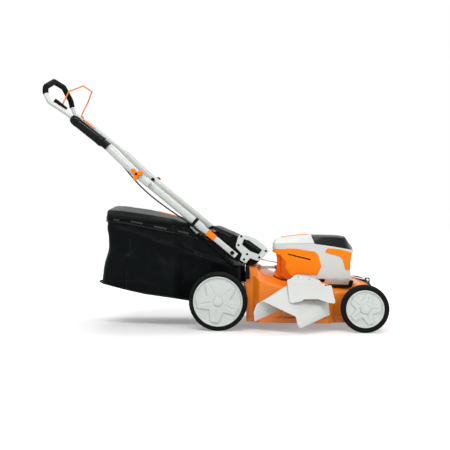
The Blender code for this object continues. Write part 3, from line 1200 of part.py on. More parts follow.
def make_bag_cover():
    rear, front, half = LEVEL_FLAP
    long = front - rear
    frame = level_flap_frame()
    recess = moved(box((-long - 0.001, -half - 0.001, -0.0035), (0.001, half + 0.001, 0.02)), frame)
    vent = moved(box((-long + 0.012, -half + 0.010, -0.02), (-0.012, half - 0.010, 0.02)), frame)
    cover = cut(cover_block(0.0, 0.0), cover_block(BAG_WALL, 0.02), recess, vent)
    add("bag_cover", cover, BLACK_PLASTIC, (BAG_MOUTH, 0.0, 0.45))
    flap = box((-long, -half, -0.0030), (0.0, half, 0.0))
    barrel = rod("XZ", (-0.0017, -0.0015), 0.0015, -half, half, 8)
    add("bag_level_flap", moved(join(flap, barrel), frame), ORANGE_PLASTIC, frame.translation)


def make_bag_frame():
    """A rod along both upper edges of the bag's neck and across the top of its mouth."""
    y = BAG_NECK_HALF + 0.0005 + FRAME_RADIUS
    lift = 0.004
    half = [(x, y, bag_roof(x) - COVER_RIM + lift) for x in (-0.098, -0.043, 0.055)]
    half.append((BAG_MOUTH + FRAME_RADIUS + 0.001, y, bag_roof(BAG_MOUTH) - COVER_RIM + lift))
    path = [(a, -b, c) for a, b, c in half] + list(reversed(half))
    add("bag_frame", bar(fillet(path, 0.012, 2, closed=False), FRAME_RADIUS, 8), DARK_STEEL, (BAG_MOUTH, 0.0, 0.27))


def stand_on_origin():
    """Carries the mower so that the bottom centre of its whole box is at the origin."""
    bpy.context.view_layer.update()
    low = Vector((1e9, 1e9, 1e9))
    high = -low
    for item in ROOT.children:
        for corner in item.bound_box:
            point = item.matrix_world @ Vector(corner)
            low = Vector(map(min, low, point))
            high = Vector(map(max, high, point))
    ROOT.location = (-(low.x + high.x) / 2, -(low.y + high.y) / 2, -low.z)


make_wheels()
make_rear_axle()
make_front_axle()
make_tie_rod()
make_crank_bolts()
make_deck()
make_side_flap()
make_chute()
make_hood()
make_cowl()
make_panels()
make_motor_base()
make_motor()
make_blade()
make_battery()
make_rear_console()
make_discharge_flap()
make_height_grip()
make_lower_handle()
make_pivot_bolts()
make_sleeves()
make_upper_handle()
make_star_knobs()
make_control_box()
make_bail()
make_cables()
make_cable_clip()
make_bag_fabric()
make_bag_base()
make_bag_cover()
make_bag_frame()
stand_on_origin()
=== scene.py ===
import json
import math
import bpy
import bmesh
from mathutils import Matrix, Vector, noise
from mathutils.bvhtree import BVHTree
from mathutils.geometry import delaunay_2d_cdt


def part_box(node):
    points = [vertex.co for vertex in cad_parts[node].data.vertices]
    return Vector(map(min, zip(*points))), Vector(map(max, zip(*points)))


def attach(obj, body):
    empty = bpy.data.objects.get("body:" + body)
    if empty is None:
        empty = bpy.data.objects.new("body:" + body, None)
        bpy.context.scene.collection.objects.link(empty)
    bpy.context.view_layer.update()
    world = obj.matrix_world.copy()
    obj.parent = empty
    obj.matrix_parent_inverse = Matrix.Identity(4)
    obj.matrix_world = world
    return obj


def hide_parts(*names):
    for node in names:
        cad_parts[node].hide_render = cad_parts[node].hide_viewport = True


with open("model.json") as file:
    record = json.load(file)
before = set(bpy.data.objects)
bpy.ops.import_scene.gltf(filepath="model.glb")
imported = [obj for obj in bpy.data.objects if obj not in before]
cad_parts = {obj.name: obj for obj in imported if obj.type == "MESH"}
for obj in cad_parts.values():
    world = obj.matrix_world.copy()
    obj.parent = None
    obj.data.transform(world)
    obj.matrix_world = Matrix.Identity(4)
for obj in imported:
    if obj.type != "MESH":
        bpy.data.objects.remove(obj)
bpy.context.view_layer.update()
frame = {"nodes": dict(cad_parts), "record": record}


# Everything below is drawn about the middle of the rear axle, on the ground, and moved onto the CAD model
# once it is made.
def middle(node):
    low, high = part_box(node)
    return (Vector(low) + Vector(high)) / 2


def half_size(node):
    low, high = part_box(node)
    return (Vector(high) - Vector(low)) / 2


LEFT_WHEEL, RIGHT_WHEEL = middle("rear_tyre_left"), middle("rear_tyre_right")
ORIGIN = Vector((LEFT_WHEEL.x, (LEFT_WHEEL.y + RIGHT_WHEEL.y) / 2, 0.0))
SIDES = (("right", -1), ("left", 1))


def smoothstep(low, high, value):
    """Rises softly from 0 to 1 between two marks."""
    if high == low:
        return float(value >= high)
    t = min(max((value - low) / (high - low), 0.0), 1.0)
    return t * t * (3 - 2 * t)


def window(start, full, fade, end, value):
    """Rises from 0 to 1 between the first two marks and falls back between the last two."""
    return smoothstep(start, full, value) * (1 - smoothstep(fade, end, value))


def fillet(points, radius, steps=4, closed=True):
    """Rounds the corners of an outline. The radius may be one number or one for each corner."""
    points = [Vector(p) for p in points]
    rounded = []
    last = len(points) - 1
    for i, corner in enumerate(points):
        size = radius[i] if isinstance(radius, (list, tuple)) else radius
        if size <= 0 or (not closed and i in (0, last)):
            rounded.append(corner)
            continue
        before, after = points[i - 1] - corner, points[(i + 1) % len(points)] - corner
        if before.length < 1e-7 or after.length < 1e-7:
            rounded.append(corner)
            continue
        angle = min(before.angle(after), math.radians(179))
        back = max(min(size / math.tan(angle / 2), before.length * 0.48, after.length * 0.48), 2e-5)
        first, second = corner + before.normalized() * back, corner + after.normalized() * back
        for k in range(steps + 1):
            t = k / steps
            rounded.append(first * (1 - t) ** 2 + corner * 2 * t * (1 - t) + second * t * t)
    return rounded


def curve_through(points, steps=6, closed=False):
    """Points along a smooth curve that passes through the given ones."""
    points = [Vector(p) for p in points]
    if closed:
        ends = [points[-1]] + points + points[:2]
    else:
        ends = [points[0] * 2 - points[1]] + points + [points[-1] * 2 - points[-2]]
    route = []
    for i in range(1, len(ends) - 2):
        a, b, c, d = ends[i - 1:i + 3]
        for step in range(steps):
            t = step / steps
            route.append(0.5 * (2 * b + (c - a) * t + (2 * a - 5 * b + 4 * c - d) * t * t
                                + (3 * b - a - 3 * c + d) * t ** 3))
    return route if closed else route + [points[-1]]


def between_rows(rows, x):
    """Values at x from rows of (x, value, value, ...), along a curve that never overshoots them."""
    if x <= rows[0][0]:
        return list(rows[0][1:])
    if x >= rows[-1][0]:
        return list(rows[-1][1:])
    i = max(k for k in range(len(rows) - 1) if rows[k][0] <= x)
    span = rows[i + 1][0] - rows[i][0]
    t = (x - rows[i][0]) / span
    values = []
    for c in range(1, len(rows[0])):
        def slope(k):
            if k <= 0 or k >= len(rows) - 1:
                return 0.0
            left = (rows[k][c] - rows[k - 1][c]) / (rows[k][0] - rows[k - 1][0])
            right = (rows[k + 1][c] - rows[k][c]) / (rows[k + 1][0] - rows[k][0])
            return 0.0 if left * right <= 0 else 2 * left * right / (left + right)
        m0 = slope(i) if i else (rows[1][c] - rows[0][c]) / span
        m1 = slope(i + 1) if i < len(rows) - 2 else (rows[-1][c] - rows[-2][c]) / span
        a, b = rows[i][c], rows[i + 1][c]
        values.append((2 * t ** 3 - 3 * t * t + 1) * a + (t ** 3 - 2 * t * t + t) * span * m0
                      + (3 * t * t - 2 * t ** 3) * b + (t ** 3 - t * t) * span * m1)
    return values


def loft(rings, closed=False, caps=True, bm=None):
    """Skins rings of equal point counts."""
    bm = bm or bmesh.new()
    rows = [[bm.verts.new(point) for point in ring] for ring in rings]
    count = len(rows[0])
    for i in range(len(rows) if closed else len(rows) - 1):
        low, high = rows[i], rows[(i + 1) % len(rows)]
        for j in range(count):
            bm.faces.new((low[j], low[(j + 1) % count], high[(j + 1) % count], high[j]))
    if caps and not closed:
        bm.faces.new(rows[0])
        bm.faces.new(rows[-1])
    bmesh.ops.recalc_face_normals(bm, faces=bm.faces)
    return bm


def grid(rows, bm=None):
    """A sheet from rows of points."""
    bm = bm or bmesh.new()
    made = [[bm.verts.new(point) for point in row] for row in rows]
    for low, high in zip(made, made[1:]):
        for j in range(len(low) - 1):
            bm.faces.new((low[j], low[j + 1], high[j + 1], high[j]))
    return bm


def on_plane(plane, a, b, depth):
    return Vector({"XZ": (a, depth, b), "XY": (a, b, depth), "YZ": (depth, a, b)}[plane])


def prism(outline, plane, start, end):
    return loft([[on_plane(plane, p[0], p[1], depth) for p in outline] for depth in (start, end)])


def inward_normals(points):
    """For each corner of an outline, the unit direction that leads into it."""
    count = len(points)
    area = sum(a.x * b.y - b.x * a.y for a, b in zip(points, points[1:] + points[:1]))
    sense = 1 if area > 0 else -1
    normals = []
    for i in range(count):
        way = (points[i] - points[i - 1]).normalized() + (points[(i + 1) % count] - points[i]).normalized()
        normals.append(Vector((-way.y, way.x)).normalized() * sense)
    return normals


def pillow(outline, plane, start, end, round_by=0.001, steps=3):
    """A plate cut to an outline, with its two rims rounded over."""
    points = [Vector((p[0], p[1])) for p in outline]
    inward = inward_normals(points)
    way = 1 if end > start else -1
    rings = []
    for base, turn in ((start, way), (end, -way)):
        part = []
        for k in range(steps + 1):
            angle = math.pi / 2 * k / steps
            shrink, depth = round_by * (1 - math.sin(angle)), base + turn * round_by * (1 - math.cos(angle))
            part.append([on_plane(plane, *(p + n * shrink), depth) for p, n in zip(points, inward)])
        rings += part if base == start else list(reversed(part))
    return loft(rings)


def box(low, high):
    bm = bmesh.new()
    bmesh.ops.create_cube(bm, size=1.0)
    for vert in bm.verts:
        vert.co = Vector([low[i] if vert.co[i] < 0 else high[i] for i in range(3)])
    return bm


def soft_box(low, high, round_by=0.002, segments=2):
    bm = box(low, high)
    bmesh.ops.bevel(bm, geom=bm.edges[:], offset=round_by, segments=segments, profile=0.5, affect="EDGES")
    return bm


def circle(centre, radius, sides):
    """The corners of a regular outline about a centre."""
    turns = [2 * math.pi * k / sides for k in range(sides)]
    return [(centre[0] + radius * math.cos(turn), centre[1] + radius * math.sin(turn)) for turn in turns]


def rod(plane, centre, radius, start, end, sides=32, round_by=0.0):
    ring = circle(centre, radius, sides)
    if round_by:
        return pillow(ring, plane, start, end, round_by)
    return prism(ring, plane, start, end)


def turned(profile, sides=64, closed=False, axes=None):
    """Turns a profile of (radius, height) about Z. An open profile starts and ends on Z."""
    bm = bmesh.new()
    rows = []
    for radius, height in profile:
        if radius < 1e-7:
            rows.append([bm.verts.new((0, 0, height))])
        else:
            rows.append([bm.verts.new((x, y, height)) for x, y in circle((0, 0), radius, sides)])
    for i in range(len(rows) if closed else len(rows) - 1):
        low, high = rows[i], rows[(i + 1) % len(rows)]
        for k in range(sides):
            j = (k + 1) % sides
            if len(low) == 1 and len(high) > 1:
                bm.faces.new((low[0], high[k], high[j]))
            elif len(high) == 1 and len(low) > 1:
                bm.faces.new((low[k], low[j], high[0]))
            elif len(low) > 1:
                bm.faces.new((low[k], low[j], high[j], high[k]))
    bmesh.ops.recalc_face_normals(bm, faces=bm.faces)
    if axes:
        bm.transform(axes)
    return bm


def sweep(path, sizes, sides=20, caps=True, up=None, turn=0.0, closed=False):
    """A tube along a path. A size is a radius, or a pair of half sizes, along the up direction and across."""
    path = [Vector(p) for p in path]
    if not isinstance(sizes, list):
        sizes = [sizes] * len(path)
    count = len(path)
    tangents = []
    for i in range(count):
        if closed:
            tangents.append((path[(i + 1) % count] - path[i - 1]).normalized())
        else:
            tangents.append((path[min(i + 1, count - 1)] - path[max(i - 1, 0)]).normalized())
    normal = Vector(up) if up else (Vector((0, 1, 0)) if abs(tangents[0].y) < 0.9 else Vector((1, 0, 0)))
    rings = []
    for point, tangent, size in zip(path, tangents, sizes):
        normal = (normal - tangent * normal.dot(tangent)).normalized()
        across = tangent.cross(normal)
        a, b = size if isinstance(size, tuple) else (size, size)
        rings.append([point + normal * (a * math.cos(turn + 2 * math.pi * k / sides))
                      + across * (b * math.sin(turn + 2 * math.pi * k / sides)) for k in range(sides)])
    return loft(rings, closed=closed, caps=caps)


def shifted(bm, matrix):
    bm.transform(matrix if isinstance(matrix, Matrix) else Matrix.Translation(matrix))
    return bm


def join(*parts):
    """Puts several bodies in one mesh without joining their surfaces."""
    mesh = bpy.data.meshes.new("join")
    whole = bmesh.new()
    for bm in parts:
        bm.to_mesh(mesh)
        whole.from_mesh(mesh)
        bm.free()
    bpy.data.meshes.remove(mesh)
    return whole


def stand_in(bm):
    mesh = bpy.data.meshes.new("tool")
    bm.to_mesh(mesh)
    bm.free()
    item = bpy.data.objects.new("tool", mesh)
    bpy.context.collection.objects.link(item)
    return item


def boolean(bm, tools, operation):
    target = stand_in(bm)
    helpers = [stand_in(tool) for tool in tools]
    for helper in helpers:
        step = target.modifiers.new("cut", "BOOLEAN")
        step.operation = operation
        step.solver = "EXACT"
        step.object = helper
    mesh = target.evaluated_get(bpy.context.evaluated_depsgraph_get()).to_mesh()
    result = bmesh.new()
    result.from_mesh(mesh)
    for item in [target] + helpers:
        bpy.data.objects.remove(item)
    bmesh.ops.remove_doubles(result, verts=result.verts, dist=1e-6)
    bmesh.ops.dissolve_degenerate(result, edges=result.edges, dist=1e-6)
    return result


def cut(bm, *tools):
    return boolean(bm, tools, "DIFFERENCE")


def common(bm, tool):
    return boolean(bm, [tool], "INTERSECT")


def union(bm, *tools):
    return boolean(bm, tools, "UNION")


def piece(name, bm, finish, body, replaces=(), sharp=35, bevel=0.0):
    """Makes a finished object from a body drawn about the rear axle."""
    mesh = bpy.data.meshes.new(name)
    bmesh.ops.recalc_face_normals(bm, faces=bm.faces)
    bm.transform(Matrix.Translation(ORIGIN))
    bm.to_mesh(mesh)
    bm.free()
    mesh.shade_smooth()
    if sharp:
        mesh.set_sharp_from_angle(angle=math.radians(sharp))
    mesh.materials.append(finish)
    item = bpy.data.objects.new(name, mesh)
    bpy.context.collection.objects.link(item)
    if bevel:
        step = item.modifiers.new("edges", "BEVEL")
        step.width = bevel
        step.segments = 2
        step.limit_method = "ANGLE"
        step.angle_limit = math.radians(38)
        step.harden_normals = True
        step.use_clamp_overlap = True
    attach(item, body)
    if replaces:
        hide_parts(*([replaces] if isinstance(replaces, str) else replaces))
    return item


def walled(item, thickness, offset):
    """Gives an open skin its thickness."""
    step = item.modifiers.new("wall", "SOLIDIFY")
    step.thickness = thickness
    step.offset = offset


def side_span(side, near, far):
    """A stretch across the mower on one side, from its lower to its higher place."""
    return sorted((side * near, side * far))


def softened(node, width, finish, body, segments=2, name=None, angle=30):
    """A copy of a CAD node with its flat faces cleaned up and its edges rounded over."""
    source = frame["nodes"][node]
    bm = bmesh.new()
    bm.from_mesh(source.data)
    bmesh.ops.remove_doubles(bm, verts=bm.verts, dist=2e-6)
    bmesh.ops.dissolve_limit(bm, angle_limit=math.radians(1.5), verts=bm.verts, edges=bm.edges)
    edges = [e for e in bm.edges if len(e.link_faces) == 2 and e.calc_face_angle(0) > math.radians(angle)]
    bmesh.ops.bevel(bm, geom=edges, offset=width, segments=segments, profile=0.5, affect="EDGES",
                    clamp_overlap=True)
    bm.transform(Matrix.Translation(-ORIGIN))
    return piece(name or node + "_shell", bm, finish, body, node, sharp=40)


# Materials
def new_material(name):
    made = bpy.data.materials.new(name)
    made.use_nodes = True
    tree = made.node_tree
    return made, tree, tree.nodes["Principled BSDF"]


def connect(tree, value, socket):
    """Feeds an input from another node's output, or gives it a plain value."""
    if isinstance(value, bpy.types.NodeSocket):
        tree.links.new(value, socket)
    else:
        socket.default_value = value


def dress(tree, shader, **inputs):
    """Sets inputs of a node by name, with underscores for spaces."""
    for name, value in inputs.items():
        connect(tree, value, shader.inputs[name.replace("_", " ")])


def add_node(tree, kind, **values):
    """Makes a node. A name is one of its settings or else one of its inputs."""
    node = tree.nodes.new(kind)
    for key, value in values.items():
        if hasattr(node, key):
            setattr(node, key, value)
        else:
            dress(tree, node, **{key: value})
    return node


def linear(red, green, blue):
    """A display colour of 0 to 255 as the linear colour that renders as it."""
    return tuple(c / 12.92 if c <= 0.04045 else ((c + 0.055) / 1.055) ** 2.4 for c in (red / 255, green / 255,
                                                                                       blue / 255))


def shade(colour, factor):
    return tuple(min(c * factor, 1.0) for c in colour) + (1.0,)


def place_of(tree, scale=(1, 1, 1)):
    """Places on the piece itself, in metres, so that the pattern stays put when the piece moves."""
    where = add_node(tree, "ShaderNodeTexCoord")
    return add_node(tree, "ShaderNodeMapping", Vector=where.outputs["Object"], Scale=scale).outputs["Vector"]


def noise_of(tree, place, scale, detail=3.0, roughness=0.55, distortion=0.0):
    return add_node(tree, "ShaderNodeTexNoise", Vector=place, Scale=scale, Detail=detail, Roughness=roughness,
                    Distortion=distortion).outputs["Fac"]


def ramp_of(tree, value, stops):
    made = add_node(tree, "ShaderNodeValToRGB", Fac=value)
    ramp = made.color_ramp
    while len(ramp.elements) < len(stops):
        ramp.elements.new(0.5)
    for element, (position, colour) in zip(ramp.elements, stops):
        element.position = position
        element.color = colour if len(colour) == 4 else (*colour, 1.0)
    return made.outputs["Color"]


def range_of(tree, value, low, high, from_low=0.3, from_high=0.7):
    return add_node(tree, "ShaderNodeMapRange", Value=value, From_Min=from_low, From_Max=from_high,
                    To_Min=low, To_Max=high).outputs["Result"]


def mix_of(tree, factor, first, second, blend="MIX"):
    made = add_node(tree, "ShaderNodeMix", data_type="RGBA", blend_type=blend)
    for socket, value in ((made.inputs[0], factor), (made.inputs[6], first), (made.inputs[7], second)):
        connect(tree, value, socket)
    return made.outputs[2]


def maths(tree, operation, first, second=0.5):
    made = add_node(tree, "ShaderNodeMath", operation=operation)
    for socket, value in zip(made.inputs, (first, second)):
        connect(tree, value, socket)
    return made.outputs[0]


def bump_of(tree, height, strength, distance, before=None):
    made = add_node(tree, "ShaderNodeBump", Strength=strength, Distance=distance, Height=height)
    if before:
        dress(tree, made, Normal=before)
    return made.outputs["Normal"]


def worn_edges(tree, colour, edge_colour, amount=0.5):
    """A lighter, rubbed colour where the surface turns sharply, broken up by noise."""
    point = add_node(tree, "ShaderNodeNewGeometry")
    edge = range_of(tree, point.outputs["Pointiness"], 0.0, amount, 0.52, 0.60)
    patchy = maths(tree, "MULTIPLY", edge, noise_of(tree, place_of(tree), 60.0, 4.0))
    return mix_of(tree, patchy, colour, edge_colour)


def moulded(name, colour, rough=0.42, vary=0.05, grain=1400.0, grain_bump=0.12, specular=0.5):
    """A moulded plastic: fine spark texture, slight flow marks and rubbed edges."""
    made, tree, shader = new_material(name)
    place = place_of(tree)
    cloudy = noise_of(tree, place, 14.0, 4.0)
    base = ramp_of(tree, cloudy, ((0.25, shade(colour, 1 - vary)), (0.75, shade(colour, 1 + vary))))
    specks = noise_of(tree, place, 420.0, 2.0)
    base = mix_of(tree, maths(tree, "MULTIPLY", range_of(tree, specks, 0.0, 1.0, 0.55, 0.75), 0.10), base,
                  shade(colour, 0.7))
    base = worn_edges(tree, base, shade(tuple(min(c * 1.25 + 0.03, 1.0) for c in colour), 1.0), 0.35)
    fine = bump_of(tree, noise_of(tree, place, grain, 2.0), grain_bump, 0.0004)
    dress(tree, shader, Base_Color=base, Specular_IOR_Level=specular,
          Roughness=range_of(tree, noise_of(tree, place, 45.0, 5.0), rough - 0.06, rough + 0.08),
          Normal=bump_of(tree, noise_of(tree, place, 9.0, 2.0), 0.05, 0.004, fine))
    return made


def enamel(name, colour, rough, coat, dust=None):
    """Sprayed enamel over pressed steel: orange peel, a clear coat, faint scuffs and edge wear."""
    made, tree, shader = new_material(name)
    place = place_of(tree)
    base = ramp_of(tree, noise_of(tree, place, 6.0, 3.0),
                   ((0.25, shade(colour, 0.94)), (0.75, shade(colour, 1.06))))
    scuffs = noise_of(tree, place_of(tree, (18, 90, 60)), 5.0, 6.0, 0.7, 0.6)
    base = mix_of(tree, maths(tree, "MULTIPLY", range_of(tree, scuffs, 0.0, 1.0, 0.62, 0.80), 0.16), base,
                  shade(tuple(c * 0.8 + 0.05 for c in colour), 1.0))
    base = worn_edges(tree, base, shade(tuple(min(c * 1.12 + 0.03, 1.0) for c in colour), 1.0), 0.30)
    if dust:
        where = add_node(tree, "ShaderNodeSeparateXYZ", Vector=place)
        low = range_of(tree, where.outputs["Z"], 0.5, 0.0, 0.02, 0.12)
        film = maths(tree, "MULTIPLY", low, noise_of(tree, place, 35.0, 6.0))
        base = mix_of(tree, film, base, (*dust, 1.0))
    peel = bump_of(tree, noise_of(tree, place, 260.0, 2.0), 0.10, 0.0006)
    dress(tree, shader, Base_Color=base, Roughness=range_of(tree, scuffs, rough - 0.05, rough + 0.14),
          Normal=bump_of(tree, noise_of(tree, place, 7.0, 2.0), 0.06, 0.006, peel), Coat_Weight=coat,
          Coat_Roughness=0.12)
    return made


def metal(name, colour, rough, rust=0.0):
    """Bare metal, drawn or turned: fine lines along one way, with stains."""
    made, tree, shader = new_material(name)
    place = place_of(tree)
    lines = noise_of(tree, place_of(tree, (1, 60, 1)), 40.0, 4.0, 0.6)
    base = ramp_of(tree, lines, ((0.3, shade(colour, 0.90)), (0.7, shade(colour, 1.10))))
    if rust:
        stain = range_of(tree, noise_of(tree, place, 55.0, 6.0, 0.7), 0.0, rust, 0.55, 0.75)
        base = mix_of(tree, stain, base, (0.10, 0.04, 0.015, 1.0))
    dress(tree, shader, Base_Color=base, Roughness=range_of(tree, lines, rough - 0.08, rough + 0.10),
          Normal=bump_of(tree, lines, 0.15, 0.0003), Metallic=1.0)
    return made


def tube_coat(name, colour):
    """Powder coat on an aluminium tube: a fine pebble finish with a soft metallic sheen."""
    made, tree, shader = new_material(name)
    place = place_of(tree)
    base = ramp_of(tree, noise_of(tree, place, 11.0, 4.0),
                   ((0.25, shade(colour, 0.95)), (0.75, shade(colour, 1.03))))
    flake = range_of(tree, noise_of(tree, place, 2400.0, 1.0), 0.0, 0.03, 0.55, 0.8)
    base = mix_of(tree, flake, base, (0.92, 0.93, 0.92, 1.0))
    rub = range_of(tree, noise_of(tree, place, 60.0, 5.0, 0.6), 0.0, 0.03, 0.60, 0.8)
    base = mix_of(tree, rub, base, shade(colour, 0.80))
    dress(tree, shader, Base_Color=base,
          Roughness=range_of(tree, noise_of(tree, place, 24.0, 4.0), 0.33, 0.40),
          Normal=bump_of(tree, noise_of(tree, place, 180.0, 2.0), 0.010, 0.0002), Metallic=0.10,
          Specular_IOR_Level=0.4, Coat_Weight=0.08, Coat_Roughness=0.15)
    return made


def tyre_rubber(name, colour, dust):
    """Black rubber with matt grain and a little ground dust in the tread."""
    made, tree, shader = new_material(name)
    place = place_of(tree)
    base = ramp_of(tree, noise_of(tree, place, 30.0, 5.0),
                   ((0.3, shade(colour, 0.75)), (0.7, shade(colour, 1.3))))
    point = add_node(tree, "ShaderNodeNewGeometry")
    hollow = range_of(tree, point.outputs["Pointiness"], 0.45, 0.0, 0.44, 0.50)
    film = maths(tree, "MULTIPLY", hollow, noise_of(tree, place, 90.0, 6.0))
    base = mix_of(tree, film, base, (*dust, 1.0))
    worn = range_of(tree, point.outputs["Pointiness"], 0.0, 0.5, 0.53, 0.62)
    base = mix_of(tree, worn, base, shade(tuple(c * 2.2 + 0.004 for c in colour), 1.0))
    dress(tree, shader, Base_Color=base,
          Roughness=range_of(tree, noise_of(tree, place, 120.0, 5.0), 0.50, 0.74),
          Normal=bump_of(tree, noise_of(tree, place, 800.0, 3.0), 0.25, 0.0004), Specular_IOR_Level=0.10)
    return made


def woven(name, colour, thread, sheen, rough, specular):
    """A coated woven fabric: threads over and under in two directions, with worn patches and a soft sheen."""
    made, tree, shader = new_material(name)
    place = place_of(tree)
    turns = 1.0 / (2 * thread)
    waves = []
    for direction in ("X", "Z"):
        wave = add_node(tree, "ShaderNodeTexWave", wave_type="BANDS", bands_direction=direction,
                        wave_profile="SIN", Vector=place, Scale=turns / 20 * math.pi, Distortion=0.6,
                        Detail=1.0, Detail_Scale=0.4)
        waves.append(wave.outputs["Fac"])
    cloth = maths(tree, "MAXIMUM", waves[0], waves[1])
    patches = noise_of(tree, place, 9.0, 5.0, 0.6)
    base = ramp_of(tree, patches, ((0.25, shade(colour, 0.80)), (0.75, shade(colour, 1.35))))
    base = mix_of(tree, maths(tree, "MULTIPLY", cloth, 0.35), base, shade(colour, 1.9))
    lint = range_of(tree, noise_of(tree, place, 330.0, 3.0, 0.7), 0.0, 0.22, 0.66, 0.80)
    base = mix_of(tree, lint, base, shade(tuple(c * 3 + 0.01 for c in colour), 1.0))
    weave = bump_of(tree, cloth, 0.30, 0.0005)
    crumple = noise_of(tree, place_of(tree, (1, 1, 0.55)), 22.0, 4.0, 0.5, 0.8)
    dress(tree, shader, Base_Color=base, Roughness=range_of(tree, patches, rough - 0.10, rough + 0.12),
          Normal=bump_of(tree, crumple, 0.22, 0.010, weave), Sheen_Weight=sheen, Sheen_Roughness=0.45,
          Specular_IOR_Level=specular)
    return made


def foam_rubber(name, colour):
    """Closed-cell foam: small pits with painted shade in them, and a dull bloom."""
    made, tree, shader = new_material(name)
    place = place_of(tree)
    cells = add_node(tree, "ShaderNodeTexVoronoi", Scale=900.0, Vector=place)
    base = ramp_of(tree, noise_of(tree, place, 40.0, 4.0),
                   ((0.3, shade(colour, 0.85)), (0.7, shade(colour, 1.2))))
    # Darker at the centres of the cells, where the bump sinks pits: painted shade.
    base = mix_of(tree, range_of(tree, cells.outputs["Distance"], 0.35, 0.0, 0.0, 0.35), base,
                  shade(colour, 0.45))
    dress(tree, shader, Base_Color=base,
          Roughness=range_of(tree, noise_of(tree, place, 60.0, 3.0), 0.70, 0.88),
          Normal=bump_of(tree, cells.outputs["Distance"], 0.25, 0.0004), Specular_IOR_Level=0.03)
    return made


def smoked(name, colour):
    """Polished dark plastic with a hard gloss, faint swirls and dust specks."""
    made, tree, shader = new_material(name)
    place = place_of(tree)
    base = ramp_of(tree, noise_of(tree, place, 8.0, 3.0),
                   ((0.3, shade(colour, 0.7)), (0.7, shade(colour, 1.3))))
    specks = range_of(tree, noise_of(tree, place, 650.0, 2.0, 0.8), 0.0, 0.30, 0.70, 0.82)
    base = mix_of(tree, specks, base, (0.10, 0.10, 0.10, 1.0))
    swirls = noise_of(tree, place_of(tree, (20, 20, 90)), 4.0, 6.0, 0.7)
    dress(tree, shader, Base_Color=base, Roughness=range_of(tree, swirls, 0.05, 0.16),
          Normal=bump_of(tree, noise_of(tree, place, 12.0, 2.0), 0.04, 0.004), Specular_IOR_Level=0.15)
    return made


def wound(name, colour):
    """Enamelled copper wire, laid side by side, with painted shade in the grooves between the wires."""
    made, tree, shader = new_material(name)
    place = place_of(tree)
    wave = add_node(tree, "ShaderNodeTexWave", wave_type="RINGS", rings_direction="Z", Scale=160.0,
                    Distortion=1.5, Vector=place)
    # Darker where the wave is low: painted shade between the wires.
    base = ramp_of(tree, wave.outputs["Fac"], ((0.0, shade(colour, 0.35)), (0.6, shade(colour, 1.1))))
    dress(tree, shader, Base_Color=base, Normal=bump_of(tree, wave.outputs["Fac"], 0.6, 0.001), Metallic=0.9,
          Roughness=0.32)
    return made


ORANGE_PAINT = enamel("orange_paint", linear(234, 122, 2), 0.33, coat=0.22, dust=(0.20, 0.12, 0.06))
ORANGE = moulded("orange_plastic", linear(250, 130, 1), 0.42, specular=0.18)
# A darker copy of the orange plastic: painted shade on the cowl's recess behind the side panels and on its
# cheeks.
ORANGE_PAINTED_SHADE = moulded("orange_plastic_painted_shade", linear(216, 90, 1), 0.42, specular=0.15)
GREY = moulded("grey_plastic", linear(206, 208, 205), 0.44, vary=0.025)
WHITE = moulded("white_plastic", linear(203, 208, 205), 0.46, vary=0.025)
BLACK = moulded("black_plastic", (0.0050, 0.0057, 0.0056), 0.36, vary=0.2, specular=0.05)
GLOSS = moulded("gloss_black", (0.004, 0.0047, 0.0048), 0.16, vary=0.2, grain_bump=0.03, specular=0.16)
COVER = moulded("cover_plastic", (0.006, 0.0070, 0.0068), 0.36, vary=0.10, specular=0.08)
SMOKED = smoked("tinted_window", (0.005, 0.006, 0.007))
RUBBER = tyre_rubber("tyre_rubber", (0.0045, 0.0050, 0.0053), (0.035, 0.031, 0.026))
FOAM = foam_rubber("foam", (0.0085, 0.0100, 0.0098))
TUBE = tube_coat("tube_paint", linear(200, 204, 200))
STEEL = metal("steel", (0.52, 0.52, 0.52), 0.34, rust=0.15)
ZINC = metal("zinc_screw", (0.60, 0.60, 0.58), 0.30)
DARK_STEEL = enamel("dark_steel", (0.020, 0.020, 0.021), 0.38, coat=0.2)
COPPER = wound("copper", (0.60, 0.25, 0.10))
FABRIC = woven("bag_fabric", (0.0020, 0.0029, 0.0031), 0.0011, 0.005, 0.42, 0.06)
WEBBING = woven("bag_binding", (0.005, 0.006, 0.006), 0.0016, 0.02, 0.55, 0.15)
DARK_RED = moulded("dark_red_collar", linear(150, 36, 24), 0.45)
RIM_CLIPS = moulded("rim_clips", (0.040, 0.043, 0.042), 0.42, specular=0.1)
PALE_RIBS = moulded("pale_ribs", linear(172, 176, 172), 0.40, vary=0.05, specular=0.4)

SLOT_FINISH = {
    "orange_paint": ORANGE_PAINT, "orange_plastic": ORANGE, "grey_plastic": GREY, "white_plastic": WHITE,
    "black_plastic": BLACK, "gloss_black": GLOSS, "tinted_window": SMOKED, "tyre_rubber": RUBBER,
    "foam": FOAM, "tube_paint": TUBE, "steel": STEEL, "dark_steel": DARK_STEEL, "copper": COPPER,
    "bag_fabric": FABRIC}


# The CAD nodes keep their shapes and get full materials. Pieces made further down replace most of them.
for part in frame["record"]["subparts"]:
    node = frame["nodes"].get(part["node"])
    if node and part["material_slot"] in SLOT_FINISH:
        finish = SLOT_FINISH[part["material_slot"]]
        if not node.material_slots:
            node.data.materials.append(finish)
        for place in node.material_slots:
            place.material = finish


# Wheels
TREAD_ROWS = 40
STAR_TURN = {"rear": 44.3, "front": 2.3}
TYRE_HEIGHT = {"rear": 0.0197, "front": 0.0217}


def wheel_axes(node, side):
    """Places a turned piece, built about Z with its outer face up, on a wheel's axis."""
    return Matrix.Translation(middle(node) - ORIGIN) @ Matrix.Rotation(-side * math.pi / 2, 4, "X")


